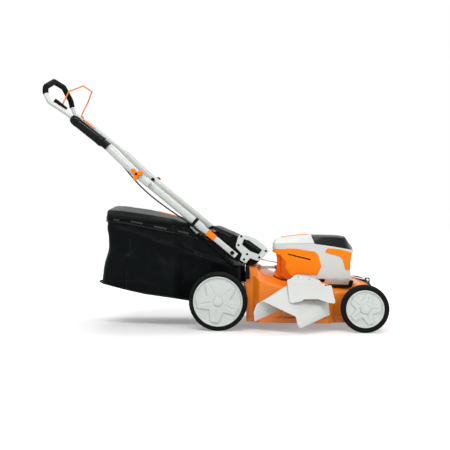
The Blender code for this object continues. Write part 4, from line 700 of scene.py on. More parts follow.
def tyre_mesh(radius, half, height):
    """A tyre with two rows of slanted tread blocks, a moulded shoulder line and rounded sidewalls."""
    bead = radius - height + 0.0005
    profile = [(bead, -half + 0.002), (bead + 0.0018, -half + 0.0002), (bead + 0.0026, -half),
               (bead + 0.0031, -half + 0.0007), (bead + 0.0038, -half + 0.0007), (bead + 0.0042, -half),
               (radius - 0.0115, -half), (radius - 0.0105, -half), (radius - 0.010, -half + 0.0008),
               (radius - 0.009, -half + 0.0008), (radius - 0.0085, -half + 0.0002),
               (radius - 0.006, -half + 0.0015), (radius - 0.0032, -half + 0.0045)]
    tread = [-half + 0.0062, -half + 0.0085, -half + 0.013, -half + 0.0175, -0.0024, -0.0016, 0.0016, 0.0024,
             half - 0.0175, half - 0.013, half - 0.0085, half - 0.0062]
    steps = TREAD_ROWS * 10
    rows = []
    for k in range(steps):
        angle = 2 * math.pi * k / steps
        out = Vector((math.cos(angle), math.sin(angle), 0))
        row = [out * r + Vector((0, 0, z)) for r, z in profile]
        for z in tread:
            slant = 1.6 * abs(z) / half
            phase = (k / 10 + slant + (0.5 if z > 0 else 0.0)) % 1.0
            block = window(0.0, 0.08, 0.66, 0.74, phase)
            if abs(z) < 0.002:
                block = 0.0
            edge = 0.0006 if abs(z) > half - 0.009 else 0.0
            row.append(out * (radius - 0.0028 * (1 - block) - edge) + Vector((0, 0, z)))
        row += [out * r + Vector((0, 0, -z)) for r, z in reversed(profile)]
        rows.append(row)
    return loft(rows, closed=True)


def star_height(x, y, rim, first):
    """How far the moulded star stands above the dish at a place on the disc's face."""
    if math.hypot(x, y) > rim:
        return 0.0
    size = rim / 0.0965
    raised = groove = corner = 0.0
    for k in range(5):
        angle = math.radians(first + 72 * k)
        along = (x * math.cos(angle) + y * math.sin(angle)) / size
        across = abs(y * math.cos(angle) - x * math.sin(angle)) / size
        if along > 0:
            half = 0.0300 - 0.27 * (max(along, 0.041) - 0.041)
            arm = 1 - smoothstep(half - 0.0014, half + 0.0026, across)
            arm *= 1 - smoothstep(0.0885, 0.0930, along)
            raised = max(raised, arm)
            lane = (1 - smoothstep(0.0012, 0.0052, across)) * window(0.030, 0.040, 0.070, 0.082, along)
            groove = max(groove, lane)
        angle += math.radians(36)
        corner = max(corner, (x * math.cos(angle) + y * math.sin(angle)) / size)
    raised = max(raised, 1 - smoothstep(0.0490, 0.0530, corner))
    return raised * (0.0070 - 0.0030 * groove)


def disc_mesh(radius, half, height, first):
    """The wheel disc: rim lip, dished face with a five-armed star, domed hub cap and ribbed hollow back."""
    rim = radius - height + 0.0002
    steps, rings = 300, 66
    dish = half - 0.0082
    cap = 0.0215
    rows = []
    for i in range(rings + 1):
        reach = 0.0008 + (rim - 0.0085 - 0.0008) * i / rings
        row = []
        for k in range(steps):
            angle = 2 * math.pi * k / steps
            x, y = reach * math.cos(angle), reach * math.sin(angle)
            z = dish + star_height(x, y, rim - 0.0095, first)
            z -= 0.0012 * (1 - smoothstep(0.0, 0.0035, abs(reach - cap - 0.0025)))
            if reach < cap:
                t = reach / cap
                z = half + 0.0064 - 0.0030 * t * t - 0.0062 * smoothstep(0.80, 1.0, t)
            row.append(Vector((x, y, z)))
        rows.append(row)
    lip = [(rim - 0.0072, dish + 0.0006), (rim - 0.0064, dish + 0.0036), (rim - 0.0050, half - 0.0008),
           (rim - 0.0036, half), (rim - 0.0014, half - 0.0001), (rim - 0.0002, half - 0.0012),
           (rim, half - 0.004), (rim, -half + 0.002), (rim - 0.001, -half), (rim - 0.0055, -half),
           (rim - 0.007, -half + 0.002), (rim - 0.0095, half - 0.0125), (rim - 0.0105, half - 0.011)]
    back = [(0.0190, half - 0.011), (0.0172, half - 0.0135), (0.0168, -half + 0.001), (0.0160, -half),
            (0.0070, -half), (0.0063, -half + 0.001), (0.0063, half - 0.0138)]
    for reach, z in lip + back:
        rows.append([Vector((x, y, z)) for x, y in circle((0, 0), reach, steps)])
    bm = loft(rows, caps=True)
    ribs = []
    for k in range(10):
        rib = box((0.0165, -0.0012, -half + 0.012), (rim - 0.008, 0.0012, half - 0.0105))
        for vert in rib.verts:
            if vert.co.x > 0.05 and vert.co.z < 0:
                vert.co.z = half - 0.024
        rib.transform(Matrix.Rotation(math.radians(36 * k + first), 4, "Z"))
        ribs.append(rib)
    return join(bm, *ribs)


for end in ("rear", "front"):
    for word, side in SIDES:
        tyre_node, disc_node = f"{end}_tyre_{word}", f"{end}_wheel_disc_{word}"
        radius, half, height = half_size(tyre_node).z, half_size(tyre_node).y, TYRE_HEIGHT[end]
        axes = wheel_axes(tyre_node, side)
        body = f"{end}_wheel_{word}"
        first = STAR_TURN[end] if side < 0 else 180 - STAR_TURN[end]
        tyre = shifted(tyre_mesh(radius - 0.0002, half - 0.0001, height), axes)
        disc = shifted(disc_mesh(radius, half - 0.0002, height, first), axes)
        piece(f"{end}_tread_tyre_{word}", tyre, RUBBER, body, tyre_node, sharp=50)
        piece(f"{end}_star_disc_{word}", disc, WHITE, body, disc_node, sharp=48)


# Deck
LIP_LOW = 0.034
DECK_ROWS = (
    # x, half width, shoulder height, top height, top half width
    (0.115, 0.195, 0.226, 0.266, 0.165), (0.142, 0.196, 0.229, 0.266, 0.165),
    (0.178, 0.226, 0.213, 0.244, 0.168), (0.230, 0.226, 0.193, 0.222, 0.170),
    (0.280, 0.226, 0.180, 0.205, 0.170), (0.458, 0.226, 0.178, 0.201, 0.168),
    (0.472, 0.213, 0.171, 0.186, 0.162), (0.490, 0.195, 0.168, 0.184, 0.158),
    (0.558, 0.188, 0.162, 0.180, 0.154), (0.580, 0.188, 0.164, 0.198, 0.148),
    (0.638, 0.188, 0.154, 0.183, 0.144), (0.662, 0.188, 0.144, 0.168, 0.142),
    (0.690, 0.168, 0.125, 0.140, 0.136))

DECK_CREASES = [0.139, 0.142, 0.145, 0.151, 0.160, 0.169, 0.175, 0.178, 0.181, 0.561, 0.565, 0.573, 0.577,
                0.580]
FLAP_PIN = (-0.2345, 0.196)
CONDUIT_AT = (-0.100, 0.2605)


def deck_section(x, wall, floor, squeeze=0.0):
    half, shoulder, top, top_half = between_rows(DECK_ROWS, x)
    half, top_half, top, shoulder = half - squeeze, top_half - squeeze, top - squeeze, shoulder - squeeze
    lip, side = half + 0.0078 - wall, half - wall
    low = LIP_LOW + 0.020 - wall
    right = [(lip, floor), (lip, low), (side, low + 0.006), (side, shoulder - wall),
             (top_half - wall / 2, top - wall)]
    inner = max(1.0 - wall / 0.02, 0.2)
    radii = [0.0, 0.004 * inner, 0.004, 0.016 * inner, 0.022 * inner]
    points = right + [(-y, z) for y, z in reversed(right)]
    return [Vector((x, y, z)) for y, z in fillet(points, radii + list(reversed(radii)), 4)]


def deck_block(rear, front, wall, floor, blunt=0.0):
    marks = sorted(set([rear + (front - rear) * k / 72 for k in range(73)] + DECK_CREASES))
    rings = [deck_section(x, wall, floor) for x in marks if x <= front - blunt]
    if blunt:
        for k in range(1, 5):
            angle = math.pi / 2 * k / 4
            x = front - blunt + blunt * math.sin(angle)
            rings.append(deck_section(x, wall, floor, blunt * (1 - math.cos(angle))))
    return loft(rings)


REAR_PIVOT = Vector((middle("crank_bolt_right").x, 0,
                     middle("crank_bolt_right").z)) - Vector((ORIGIN.x, 0, 0))
FRONT_PIVOT = (0.672, 0.1219)


def make_deck():
    outer = deck_block(0.1155, 0.690, 0.0, LIP_LOW, 0.006)
    inner = deck_block(0.1185, 0.6865, 0.003, LIP_LOW - 0.02)
    deck = cut(outer, inner)
    door = fillet([(-0.1495, 0.151), (0.1495, 0.151), (0.1495, 0.2545), (-0.1495, 0.2545)], 0.012, 4)
    rear_door = prism(door, "YZ", 0.09, 0.14)
    side = fillet([(0.262, 0.080), (0.262, 0.168), (0.300, 0.176), (0.440, 0.150), (0.440, 0.080)], 0.008, 3)
    side_door = prism(side, "XZ", -0.26, -0.20)
    shaft = rod("XY", (0.340, 0.0), 0.016, 0.17, 0.24, 32)
    axle = rod("XZ", FRONT_PIVOT, 0.0064, -0.3, 0.3, 24)
    deck = cut(deck, rear_door, side_door, shaft, axle)
    extras = []
    for word, sign in SIDES:
        ends = (sign * 0.183, sign * 0.1987)
        ring = rod("XZ", (REAR_PIVOT.x, REAR_PIVOT.z), 0.010, *ends, 32, 0.0008)
        gusset = pillow(fillet([(REAR_PIVOT.x - 0.008, REAR_PIVOT.z - 0.012), (0.125, REAR_PIVOT.z - 0.012),
                                (0.125, REAR_PIVOT.z + 0.012), (REAR_PIVOT.x - 0.008, REAR_PIVOT.z + 0.012)],
                               0.003, 3),
                        "XZ", sign * 0.183, sign * 0.1945, 0.0008)
        extras += [ring, gusset]
        for x, z in ((0.130, 0.190), (0.150, 0.060), (0.640, 0.072)):
            half = between_rows(DECK_ROWS, x)[0]
            extras.append(rod("XZ", (x, z), 0.0035, sign * (half - 0.001), sign * (half + 0.0016), 6, 0.0005))
    for x in (0.303, 0.448):
        eye = rod("YZ", FLAP_PIN, 0.0052, x + 0.0002, x + 0.0088, 20, 0.0006)
        neck = pillow([(-0.2345, 0.1915), (-0.224, 0.176), (-0.200, 0.184), (-0.200, 0.194),
                       (-0.2345, 0.2005)], "YZ",
                      x + 0.0002, x + 0.0088, 0.0006)
        extras += [eye, neck]
    extras.append(rod("YZ", CONDUIT_AT, 0.0095, 0.160, 0.1747, 32, 0.0008))
    # Stiffening ribs pressed into the nose
    for y in (-0.09, -0.03, 0.03, 0.09):
        route = [(x, y * (1 + 0.25 * k / 5), between_rows(DECK_ROWS, x)[2] - 0.0016) for k, x in
                 enumerate((0.600, 0.615, 0.630, 0.645, 0.655, 0.662))]
        extras.append(sweep(curve_through(route, 3), [0.0012] + [0.0035] * 14 + [0.0012], 12))
    for word, sign in SIDES:
        # The left one stays a thin plate, because the crank's upper arm and the tie rod swing past it
        reach = 0.2130 if sign < 0 else 0.1986
        plate = fillet([(0.113, 0.216), (0.131, 0.216), (0.131, 0.262), (0.126, 0.274), (0.113, 0.270)],
                       0.003, 3)
        bracket = pillow(plate, "XZ", *side_span(sign, 0.1965, reach), 0.0006)
        piece(f"deck_corner_bracket_{word}", bracket, BLACK, "chassis", (), sharp=40)
    # A black bar on the right side between the housing's front and the deck: partly the linkage, partly
    # painted shade in the gap there.
    bar = fillet([(0.4805, 0.1800), (0.5490, 0.1790), (0.5640, 0.1815), (0.5725, 0.2100), (0.5580, 0.2120),
                  (0.5500, 0.1920), (0.4830, 0.1900)], 0.0025, 3)
    linkage_bar_and_shade = pillow(bar, "XZ", -0.1750, -0.1600, 0.0012)
    piece("deck_side_bar_and_shade", linkage_bar_and_shade, BLACK, "chassis", (), sharp=40)
    piece("deck_shell", deck, ORANGE_PAINT, "chassis", "deck", sharp=40, bevel=0.0008)
    piece("deck_fittings", join(*extras), ORANGE_PAINT, "chassis", (), sharp=40)


make_deck()


# Side chute and the flap over it
def sheet_body(corners, faces):
    """A folded sheet: flat faces that share their corners."""
    bm = bmesh.new()
    verts = [bm.verts.new(p) for p in corners]
    for face in faces:
        bm.faces.new([verts[i] for i in face])
    bmesh.ops.recalc_face_normals(bm, faces=bm.faces)
    return bm


def make_chute():
    wall_y, mouth_y = -0.2378, -0.3348
    corners = [(0.285, wall_y, 0.192), (0.193, mouth_y, 0.137), (0.326, mouth_y, 0.075),
               (0.415, wall_y, 0.133), (0.246, wall_y, 0.083), (0.158, mouth_y, 0.054),
               (0.155, mouth_y, 0.092), (0.168, mouth_y, 0.125), (0.462, wall_y, 0.128),
               (0.468, wall_y, 0.071), (0.345, mouth_y, 0.028), (0.333, mouth_y, 0.041)]
    bm = sheet_body(corners, ((0, 1, 2, 3), (1, 0, 4, 5, 6, 7), (3, 2, 11, 10, 9, 8)))
    folds = [e for e in bm.edges if len(e.link_faces) == 2]
    bmesh.ops.bevel(bm, geom=folds, offset=0.0055, segments=4, profile=0.5, affect="EDGES",
                    clamp_overlap=True)
    bmesh.ops.recalc_face_normals(bm, faces=bm.faces)
    item = piece("side_chute_sheet", bm, GREY, "chassis", "side_chute", sharp=50)
    walled(item, 0.0024, 0.0)
    step = item.modifiers.new("edges", "BEVEL")
    step.width, step.segments, step.limit_method, step.angle_limit = 0.0008, 2, "ANGLE", math.radians(50)


make_chute()


def screw(centre, axis, radius, tall):
    """A small pan-head screw with a round recess, standing along an axis."""
    profile = [(radius, 0.0), (radius, tall * 0.45), (radius * 0.86, tall * 0.85), (radius * 0.62, tall),
               (radius * 0.48, tall), (radius * 0.42, tall * 0.35), (0, tall * 0.35)]
    bm = turned([(0, 0.0)] + profile, 24)
    turn = Vector((0, 0, 1)).rotation_difference(Vector(axis).normalized()).to_matrix().to_4x4()
    bm.transform(Matrix.Translation(centre) @ turn)
    return bm


FLAP_SLANT = math.tan(math.radians(40))
FLAP_SKIN = FLAP_PIN[0] - 0.0075


def flap_point(x, z, out=0.0):
    return Vector((x, FLAP_SKIN - (0.196 - z) * FLAP_SLANT - out, z))


def make_side_flap():
    outline = [(0.290, 0.215), (0.308, 0.221), (0.320, 0.234), (0.341, 0.235), (0.383, 0.228), (0.425, 0.216),
               (0.437, 0.198), (0.450, 0.192), (0.475, 0.196), (0.4875, 0.133), (0.4835, 0.126),
               (0.4635, 0.129), (0.439, 0.135), (0.417, 0.142), (0.358, 0.141), (0.351, 0.134),
               (0.311, 0.125), (0.300, 0.132)]
    rim = fillet(outline, 0.006, 4)
    thick = 0.003 / math.cos(math.radians(40))
    normals = inward_normals(rim)
    rings = []
    for shrink, depth in ((0.0, 0.0), (0.0, thick * 0.55), (0.0004, thick * 0.8), (0.0012, thick * 0.96),
                          (0.0024, thick)):
        rings.append([flap_point(*(p + n * shrink), depth) for p, n in zip(rim, normals)])
    skin = loft(rings)
    barrel = rod("YZ", FLAP_PIN, 0.0058, 0.3125, 0.4475, 24, 0.0006)
    web = box((0.3125, -0.2440, 0.192), (0.4475, -0.2380, 0.200))
    spring = [Vector((0.318 + 0.024 * k / 60, -0.2345 + 0.0072 * math.cos(k * 1.15),
                      0.196 + 0.0072 * math.sin(k * 1.15)))
              for k in range(61)]
    piece("side_flap_skin", join(skin, barrel, web), GREY, "chute_flap", "side_flap",
          sharp=45)
    outward = Vector((0, -math.cos(math.radians(40)), math.sin(math.radians(40))))
    heads = [screw(flap_point(x, z, thick - 0.0003), outward, 0.0022, 0.0012) for x,
             z in ((0.338, 0.2275), (0.384, 0.2185))]
    piece("side_flap_screws", join(*heads), BLACK, "chute_flap", ())
    piece("side_flap_spring", sweep(spring, 0.0008, 8), STEEL, "chute_flap", ())


make_side_flap()


# Motor and battery housing
HOOD_BASE = 0.2155
HOOD_ROWS = (
    # x, half width, top half width, shoulder height, top height
    (0.226, 0.122, 0.098, 0.350, 0.370), (0.240, 0.140, 0.106, 0.360, 0.386),
    (0.300, 0.155, 0.114, 0.367, 0.396), (0.390, 0.155, 0.114, 0.366, 0.404),
    (0.500, 0.149, 0.108, 0.353, 0.402), (0.538, 0.143, 0.100, 0.346, 0.397),
    (0.562, 0.135, 0.094, 0.340, 0.366), (0.578, 0.125, 0.090, 0.334, 0.345))


def hood_section(x, grow, squeeze=0.0):
    half, top_half, shoulder, top = between_rows(HOOD_ROWS, x)
    half, top_half, top = half - squeeze, top_half - squeeze, top - squeeze
    shoulder = min(shoulder, top - 0.012)
    base = HOOD_BASE + min(grow, 0.0)
    right = [(half + grow, base), (half + grow, shoulder), (top_half + grow, top - 0.009 + grow),
             (top_half - 0.016 + grow, top + grow)]
    points = right + [(-y, z) for y, z in reversed(right)]
    radii = [0.0, 0.014, 0.012, 0.016]
    crowned = []
    for y, z in fillet(points, radii + list(reversed(radii)), 5):
        bulge = 0.0014 * math.sin(math.pi * min(max((z - HOOD_BASE) / (shoulder - HOOD_BASE), 0.0), 1.0))
        crowned.append(Vector((x, y - math.copysign(0.0014 - bulge, y) if z < shoulder else y, z)))
    return crowned


def hood_block(grow=0.0):
    rear, front, blunt = 0.2262 - grow, 0.5778 + grow, 0.006
    rings = [hood_section(rear + blunt * (1 - math.cos(math.pi / 2 * k / 4)), grow,
                          blunt * 0.8 * (1 - math.sin(math.pi / 2 * k / 4))) for k in range(4)]
    rings += [hood_section(rear + blunt + (front - rear - 2 * blunt) * k / 64, grow) for k in range(65)]
    rings += [hood_section(front - blunt * (1 - math.cos(math.pi / 2 * k / 4)), grow,
                           blunt * 0.8 * (1 - math.sin(math.pi / 2 * k / 4))) for k in reversed(range(4))]
    brow = 0.3335 + min(grow, 0.0)
    drawn_in = fillet([(front + 0.02, brow), (front - 0.002, brow), (front - 0.012, 0.318),
                       (front - 0.016, 0.300), (front - 0.016, 0.255), (front - 0.012, 0.224),
                       (front - 0.013, 0.19), (front + 0.02, 0.19)],
                      [0, 0.003, 0.02, 0.03, 0.03, 0.01, 0, 0], 5)
    return cut(loft(rings), prism(drawn_in, "XZ", -0.2, 0.2))


def lid_region(gap):
    line = [(0.3945, 0.42), (0.3965, 0.396), (0.4085, 0.3655), (0.491, 0.3535), (0.60, 0.3335), (0.60, 0.42)]
    line = [(x + gap * 0.9, z) if i < 2 else (x, z + gap) for i, (x, z) in enumerate(line)]
    return prism(fillet(line, [0, 0, 0.004, 0, 0, 0], 4), "XZ", -0.2, 0.2)


HOOD = hood_block()
HOOD_TREE = BVHTree.FromBMesh(HOOD)


def on_hood(x, z, side):
    """The place and outward direction of the housing's skin at a place seen from the side."""
    hit, normal = HOOD_TREE.ray_cast(Vector((x, side * 0.4, z)), Vector((0, -side, 0)))[:2]
    if hit is None:
        return HOOD_TREE.find_nearest(Vector((x, side * 0.13, z)))[:2]
    return hit, normal if normal.y * side > 0 else -normal


def inside(point, outline):
    hit = False
    for i, a in enumerate(outline):
        b = outline[i - 1]
        if (a.y > point.y) != (b.y > point.y):
            if point.x < (b.x - a.x) * (point.y - a.y) / (b.y - a.y) + a.x:
                hit = not hit
    return hit


def evenly(points, step):
    """An outline with points added so that none are further apart than a step."""
    more = []
    for i, a in enumerate(points):
        b = points[(i + 1) % len(points)]
        count = max(1, int((b - a).length / step + 0.999))
        more += [a.lerp(b, k / count) for k in range(count)]
    return more


def skin_panel(outline, side, rise=0.0038, edge=0.0032, step=0.006):
    """A panel with rounded rims that follows the skin below it and stands proud of it."""
    rim = evenly([Vector(p) for p in outline], step)
    normals = inward_normals(rim)
    bm = bmesh.new()

    def lifted(p, height):
        spot, out = on_hood(p.x, p.y, side)
        return spot + out * height

    rings = []
    for shrink, height in ((0.0, -0.0006), (0.0, rise * 0.45), (edge * 0.12, rise * 0.72),
                           (edge * 0.40, rise * 0.93), (edge, rise)):
        rings.append([(p + n * shrink, height) for p, n in zip(rim, normals)])
    made = [[bm.verts.new(lifted(p, h)) for p, h in ring] for ring in rings]
    for low, high in zip(made, made[1:]):
        for j in range(len(low)):
            bm.faces.new((low[j], low[(j + 1) % len(low)], high[(j + 1) % len(low)], high[j]))
    inner = [p for p, h in rings[-1]]
    xs, zs = [p.x for p in inner], [p.y for p in inner]
    points = [p.copy() for p in inner]
    x = min(xs) + step
    while x < max(xs):
        z = min(zs) + step
        while z < max(zs):
            spot = Vector((x, z))
            if inside(spot, inner) and min((spot - p).length for p in inner) > step * 0.55:
                points.append(spot)
            z += step
        x += step
    count = len(inner)
    edges = [(i, (i + 1) % count) for i in range(count)]
    verts, _, faces = delaunay_2d_cdt(points, edges, [], 1, 1e-6)[:3]
    top = []
    for k, p in enumerate(verts):
        if k < count and (p - inner[k]).length < 1e-5:
            top.append(made[-1][k])
        else:
            top.append(bm.verts.new(lifted(p, rise)))
    for face in faces:
        if len(set(face)) == 3:
            try:
                bm.faces.new([top[i] for i in face])
            except ValueError:
                pass
    return bm


def shut_back(bm):
    """Closes the open back of a panel."""
    rim = [e for e in bm.edges if e.is_boundary]
    bmesh.ops.holes_fill(bm, edges=rim, sides=0)
    bmesh.ops.recalc_face_normals(bm, faces=bm.faces)
    return bm


SIDE_PANEL = ((0.2275, 0.3385), (0.233, 0.3400), (0.277, 0.3405), (0.289, 0.345), (0.324, 0.345),
              (0.412, 0.331), (0.424, 0.317), (0.437, 0.268), (0.419, 0.231), (0.373, 0.233), (0.329, 0.236),
              (0.311, 0.2225), (0.297, 0.238), (0.2825, 0.262), (0.2845, 0.287), (0.262, 0.3135),
              (0.245, 0.3215), (0.2285, 0.3300))
SIDE_CORNERS = [0.006] * 6 + [0.014, 0.012] + [0.008] * 2 + [0.006] * 8
FRONT_PANEL = ((0.451, 0.329), (0.464, 0.347), (0.520, 0.342), (0.568, 0.328), (0.562, 0.288), (0.561, 0.253),
               (0.541, 0.253), (0.529, 0.297), (0.514, 0.312), (0.485, 0.320))
VENT = ((0.2925, 0.3185), (0.2945, 0.3235), (0.3925, 0.3000), (0.3905, 0.2945))


def make_hood():
    under = box((0.20, -0.2, 0.20), (0.285, 0.2, 0.342))
    floor = box((0.236, -0.125, 0.20), (0.558, 0.125, 0.226))
    line = prism([(0.20, 0.3619), (0.4090, 0.3645), (0.4090, 0.3669), (0.20, 0.3643)], "XZ", -0.2, 0.2)
    groove = common(line, cut(hood_block(0.004), hood_block(-0.0022)))
    housing = cut(HOOD.copy(), hood_block(-0.003), floor, under, lid_region(0.0), groove)
    piece("motor_housing_shell", housing, GREY, "chassis", "motor_housing", sharp=40)
    lid = cut(common(HOOD.copy(), lid_region(0.0006)), hood_block(-0.003))
    piece("battery_lid_shell", lid, SMOKED, "lid", "battery_lid", sharp=35)
    top = prism(fillet([(0.262, -0.082), (0.384, -0.092), (0.384, 0.092), (0.262, 0.082)], 0.012, 6), "XY",
                0.37, 0.42)
    top = common(top, cut(hood_block(0.0016), hood_block(-0.001)))
    piece("hood_top_strip", top, ORANGE, "chassis", (), sharp=40)


make_hood()


def make_panels():
    for word, side in SIDES:
        panel = shut_back(skin_panel(fillet(SIDE_PANEL, SIDE_CORNERS, 4), side, 0.0038, 0.0045))
        slot = prism(fillet(VENT, 0.0018, 3), "XZ", side * 0.12, side * 0.2)
        piece(f"side_panel_cover_{word}", cut(panel, slot), ORANGE, "chassis", f"side_panel_{word}",
              sharp=50)
        lip = skin_panel(fillet([(0.2900, 0.3150), (0.2925, 0.3185), (0.3905, 0.2945), (0.3935, 0.2935),
                                 (0.3925, 0.2905)],
                                0.001, 2), side, 0.0048, 0.0012, step=0.004)
        piece(f"vent_lip_{word}", shut_back(lip), ORANGE, "chassis", (), sharp=50)
        # A black sheet under the vent slot: painted shade inside the slot.
        floor = skin_panel(fillet([(0.289, 0.320), (0.293, 0.3265), (0.396, 0.302), (0.394, 0.2915)], 0.002,
                                  2), side,
                           0.0010, 0.0004, step=0.01)
        piece(f"side_vent_shade_plate_{word}", shut_back(floor), BLACK, "chassis", ())
        front = shut_back(skin_panel(fillet(FRONT_PANEL, 0.006, 4), side, 0.0034, 0.0038))
        piece(f"front_panel_cover_{word}", front, ORANGE, "chassis", f"front_panel_{word}",
              sharp=50)


make_panels()


def make_cowl():
    outline = fillet([(0.2285, 0.3415), (0.232, 0.334), (0.243, 0.320), (0.2455, 0.300), (0.2455, 0.250),
                      (0.238, 0.2405), (0.238, 0.235), (0.262, 0.2235), (0.2847, 0.2160), (0.2847, 0.3415)],
                     [0, 0.003, 0.006, 0.01, 0.006, 0.002, 0.002, 0.002, 0, 0], 4)
    cowl = common(HOOD.copy(), prism(outline, "XZ", -0.2, 0.2))
    hollow = box((0.252, -0.122, 0.20), (0.32, 0.122, 0.334))
    socket = rod("YZ", CONDUIT_AT, 0.0068, 0.20, 0.2518, 24)
    recesses = []
    for word, side in SIDES:
        channel = [(-0.011, 0.000), (-0.007, 0.0085), (0.000, 0.0110), (0.007, 0.0085), (0.013, 0.000)]
        mouth = fillet([(0.2525 + x, side * (0.1475 - y)) for x, y in channel] + [(0.2655, side * 0.17),
                                                                                  (0.2415, side * 0.17)],
                       0.003, 4)
        recesses.append(prism(mouth, "XY", 0.2385, 0.3185))
    # The cowl and its cheeks take the darker orange, which is painted shade.
    piece("motor_cowl_shell", cut(cowl, hollow, socket, *recesses), ORANGE_PAINTED_SHADE, "chassis", "motor_cowl",
          sharp=40, bevel=0.0009)
    foot = pillow(fillet([(0.231, 0.2330), (0.232, 0.2285), (0.246, 0.2205), (0.262, 0.2140),
                          (0.2985, 0.2068), (0.2985, 0.2138), (0.2847, 0.2152), (0.262, 0.2228),
                          (0.246, 0.2325)], 0.002, 3),
                  "XZ", -0.140, 0.140, 0.003)
    piece("motor_cowl_foot", foot, ORANGE, "chassis", (), sharp=40)
    for word, side in SIDES:
        cheek = skin_panel(fillet([(0.2836, 0.2168), (0.2836, 0.300), (0.300, 0.300), (0.330, 0.240),
                                   (0.318, 0.2168)], 0.002, 2),
                           side, 0.0010, 0.0006)
        piece(f"motor_cowl_cheek_{word}", shut_back(cheek), ORANGE_PAINTED_SHADE, "chassis", (),
              sharp=50)


make_cowl()


def make_base():
    """The painted plate under the housing, the battery's tray, the plate's screws and the grey skirt under
    the housing's front.
    """
    plate = pillow(fillet([(0.300, -0.128), (0.552, -0.118), (0.552, 0.118), (0.300, 0.128)], 0.020, 6), "XY",
                   0.2054, 0.2151, 0.0015)
    plate = cut(plate, rod("XY", (0.340, 0.0), 0.016, 0.19, 0.23, 32))
    x, z, long, wide = 0.416, 0.262, 0.118, 0.110
    tray = soft_box((x - 0.008, -wide / 2 - 0.008, z - 0.006),
                    (x + long + 0.008, wide / 2 + 0.008, z + 0.050), 0.002, 2)
    tray = cut(tray, box((x - 0.0003, -wide / 2 - 0.0003, z - 0.0003),
                         (x + long + 0.0003, wide / 2 + 0.0003, z + 0.1)))
    legs = [soft_box((x + a, b - 0.006, 0.2135), (x + a + 0.012, b + 0.006, z - 0.004), 0.001, 2)
            for a in (0.0, long - 0.012) for b in (-0.05, 0.05)]
    bolts = [screw((px, py, 0.2150), (0, 0, 1), 0.005, 0.003) for px, py in ((0.318, -0.112), (0.318, 0.112),
                                                                        (0.538, -0.104), (0.538, 0.104))]
    skirt = loft([[Vector((x, y, z)) for y,
                   z in fillet([(-low, 0.1900), (low, 0.1900), (high, 0.2148), (-high, 0.2148)], 0.003, 3)]
                  for x, low, high in ((0.4525, 0.134, 0.150), (0.478, 0.136, 0.150), (0.530, 0.134, 0.146),
                                       (0.5515, 0.128, 0.138))])
    skirt = cut(skirt, box((0.40, -0.120, 0.18), (0.546, 0.120, 0.2135)))
    piece("hood_skirt", skirt, GREY, "chassis", (), sharp=40)
    piece("motor_base_plate", join(plate, tray, *legs), ORANGE_PAINT, "chassis", "motor_base",
          sharp=40)
    piece("motor_base_screws", join(*bolts), ZINC, "chassis", ())


make_base()


# Rear console, its cover and the height grip
GRIP_FACE = 0.1733
# Mid-grey for the tops of ribs on black plastic: a painted highlight along them.
RIB_PAINTED_HIGHLIGHT = moulded("rib_painted_highlight", (0.080, 0.084, 0.080), 0.42, specular=0.2)


def slanted_bars(first, last, count, reach, thick, height, face, side):
    """A row of short slanted bars on a side face, spaced from a first to a last place."""
    bars = []
    for k in range(count):
        spot = Vector(first).lerp(Vector(last), k / (count - 1))
        along = Vector(reach) * 0.5
        across = Vector((along.y, -along.x)).normalized() * thick / 2
        corners = [spot - along - across, spot + along - across, spot + along + across, spot - along + across]
        ends = side_span(side, face - 0.001, face + height)
        bars.append(pillow([tuple(c) for c in corners], "XZ", *ends, 0.0003))
    return bars


def make_console():
    softened("rear_console", 0.0016, BLACK, "chassis", 3)
    extras = []
    low = fillet([(-0.040, 0.3815), (-0.020, 0.3605), (0.024, 0.3260), (0.062, 0.3010), (0.064, 0.3050),
                  (0.026, 0.3305), (-0.018, 0.3650), (-0.037, 0.3845)], 0.002, 2)
    for side in (-1, 1):
        extras.append(pillow(low, "XZ", *side_span(side, 0.1555, 0.1582), 0.0008))
    web = fillet([(0.084, 0.385), (0.112, 0.383), (0.144, 0.3675), (0.180, 0.326), (0.160, 0.296),
                  (0.140, 0.288), (0.100, 0.305), (0.080, 0.345)], 0.008, 4)
    extras.append(pillow(web, "XZ", 0.1555, 0.1590, 0.0014))
    for k in range(9):
        spot = Vector((0.116, 0.3830)).lerp(Vector((0.164, 0.3510)), k / 8)
        extras.append(soft_box((spot.x - 0.0012, -0.138, spot.y - 0.004),
                               (spot.x + 0.0012, 0.138, spot.y + 0.0022), 0.0006, 1))
    piece("console_ribs", join(*extras), BLACK, "chassis", (), sharp=40)


make_console()


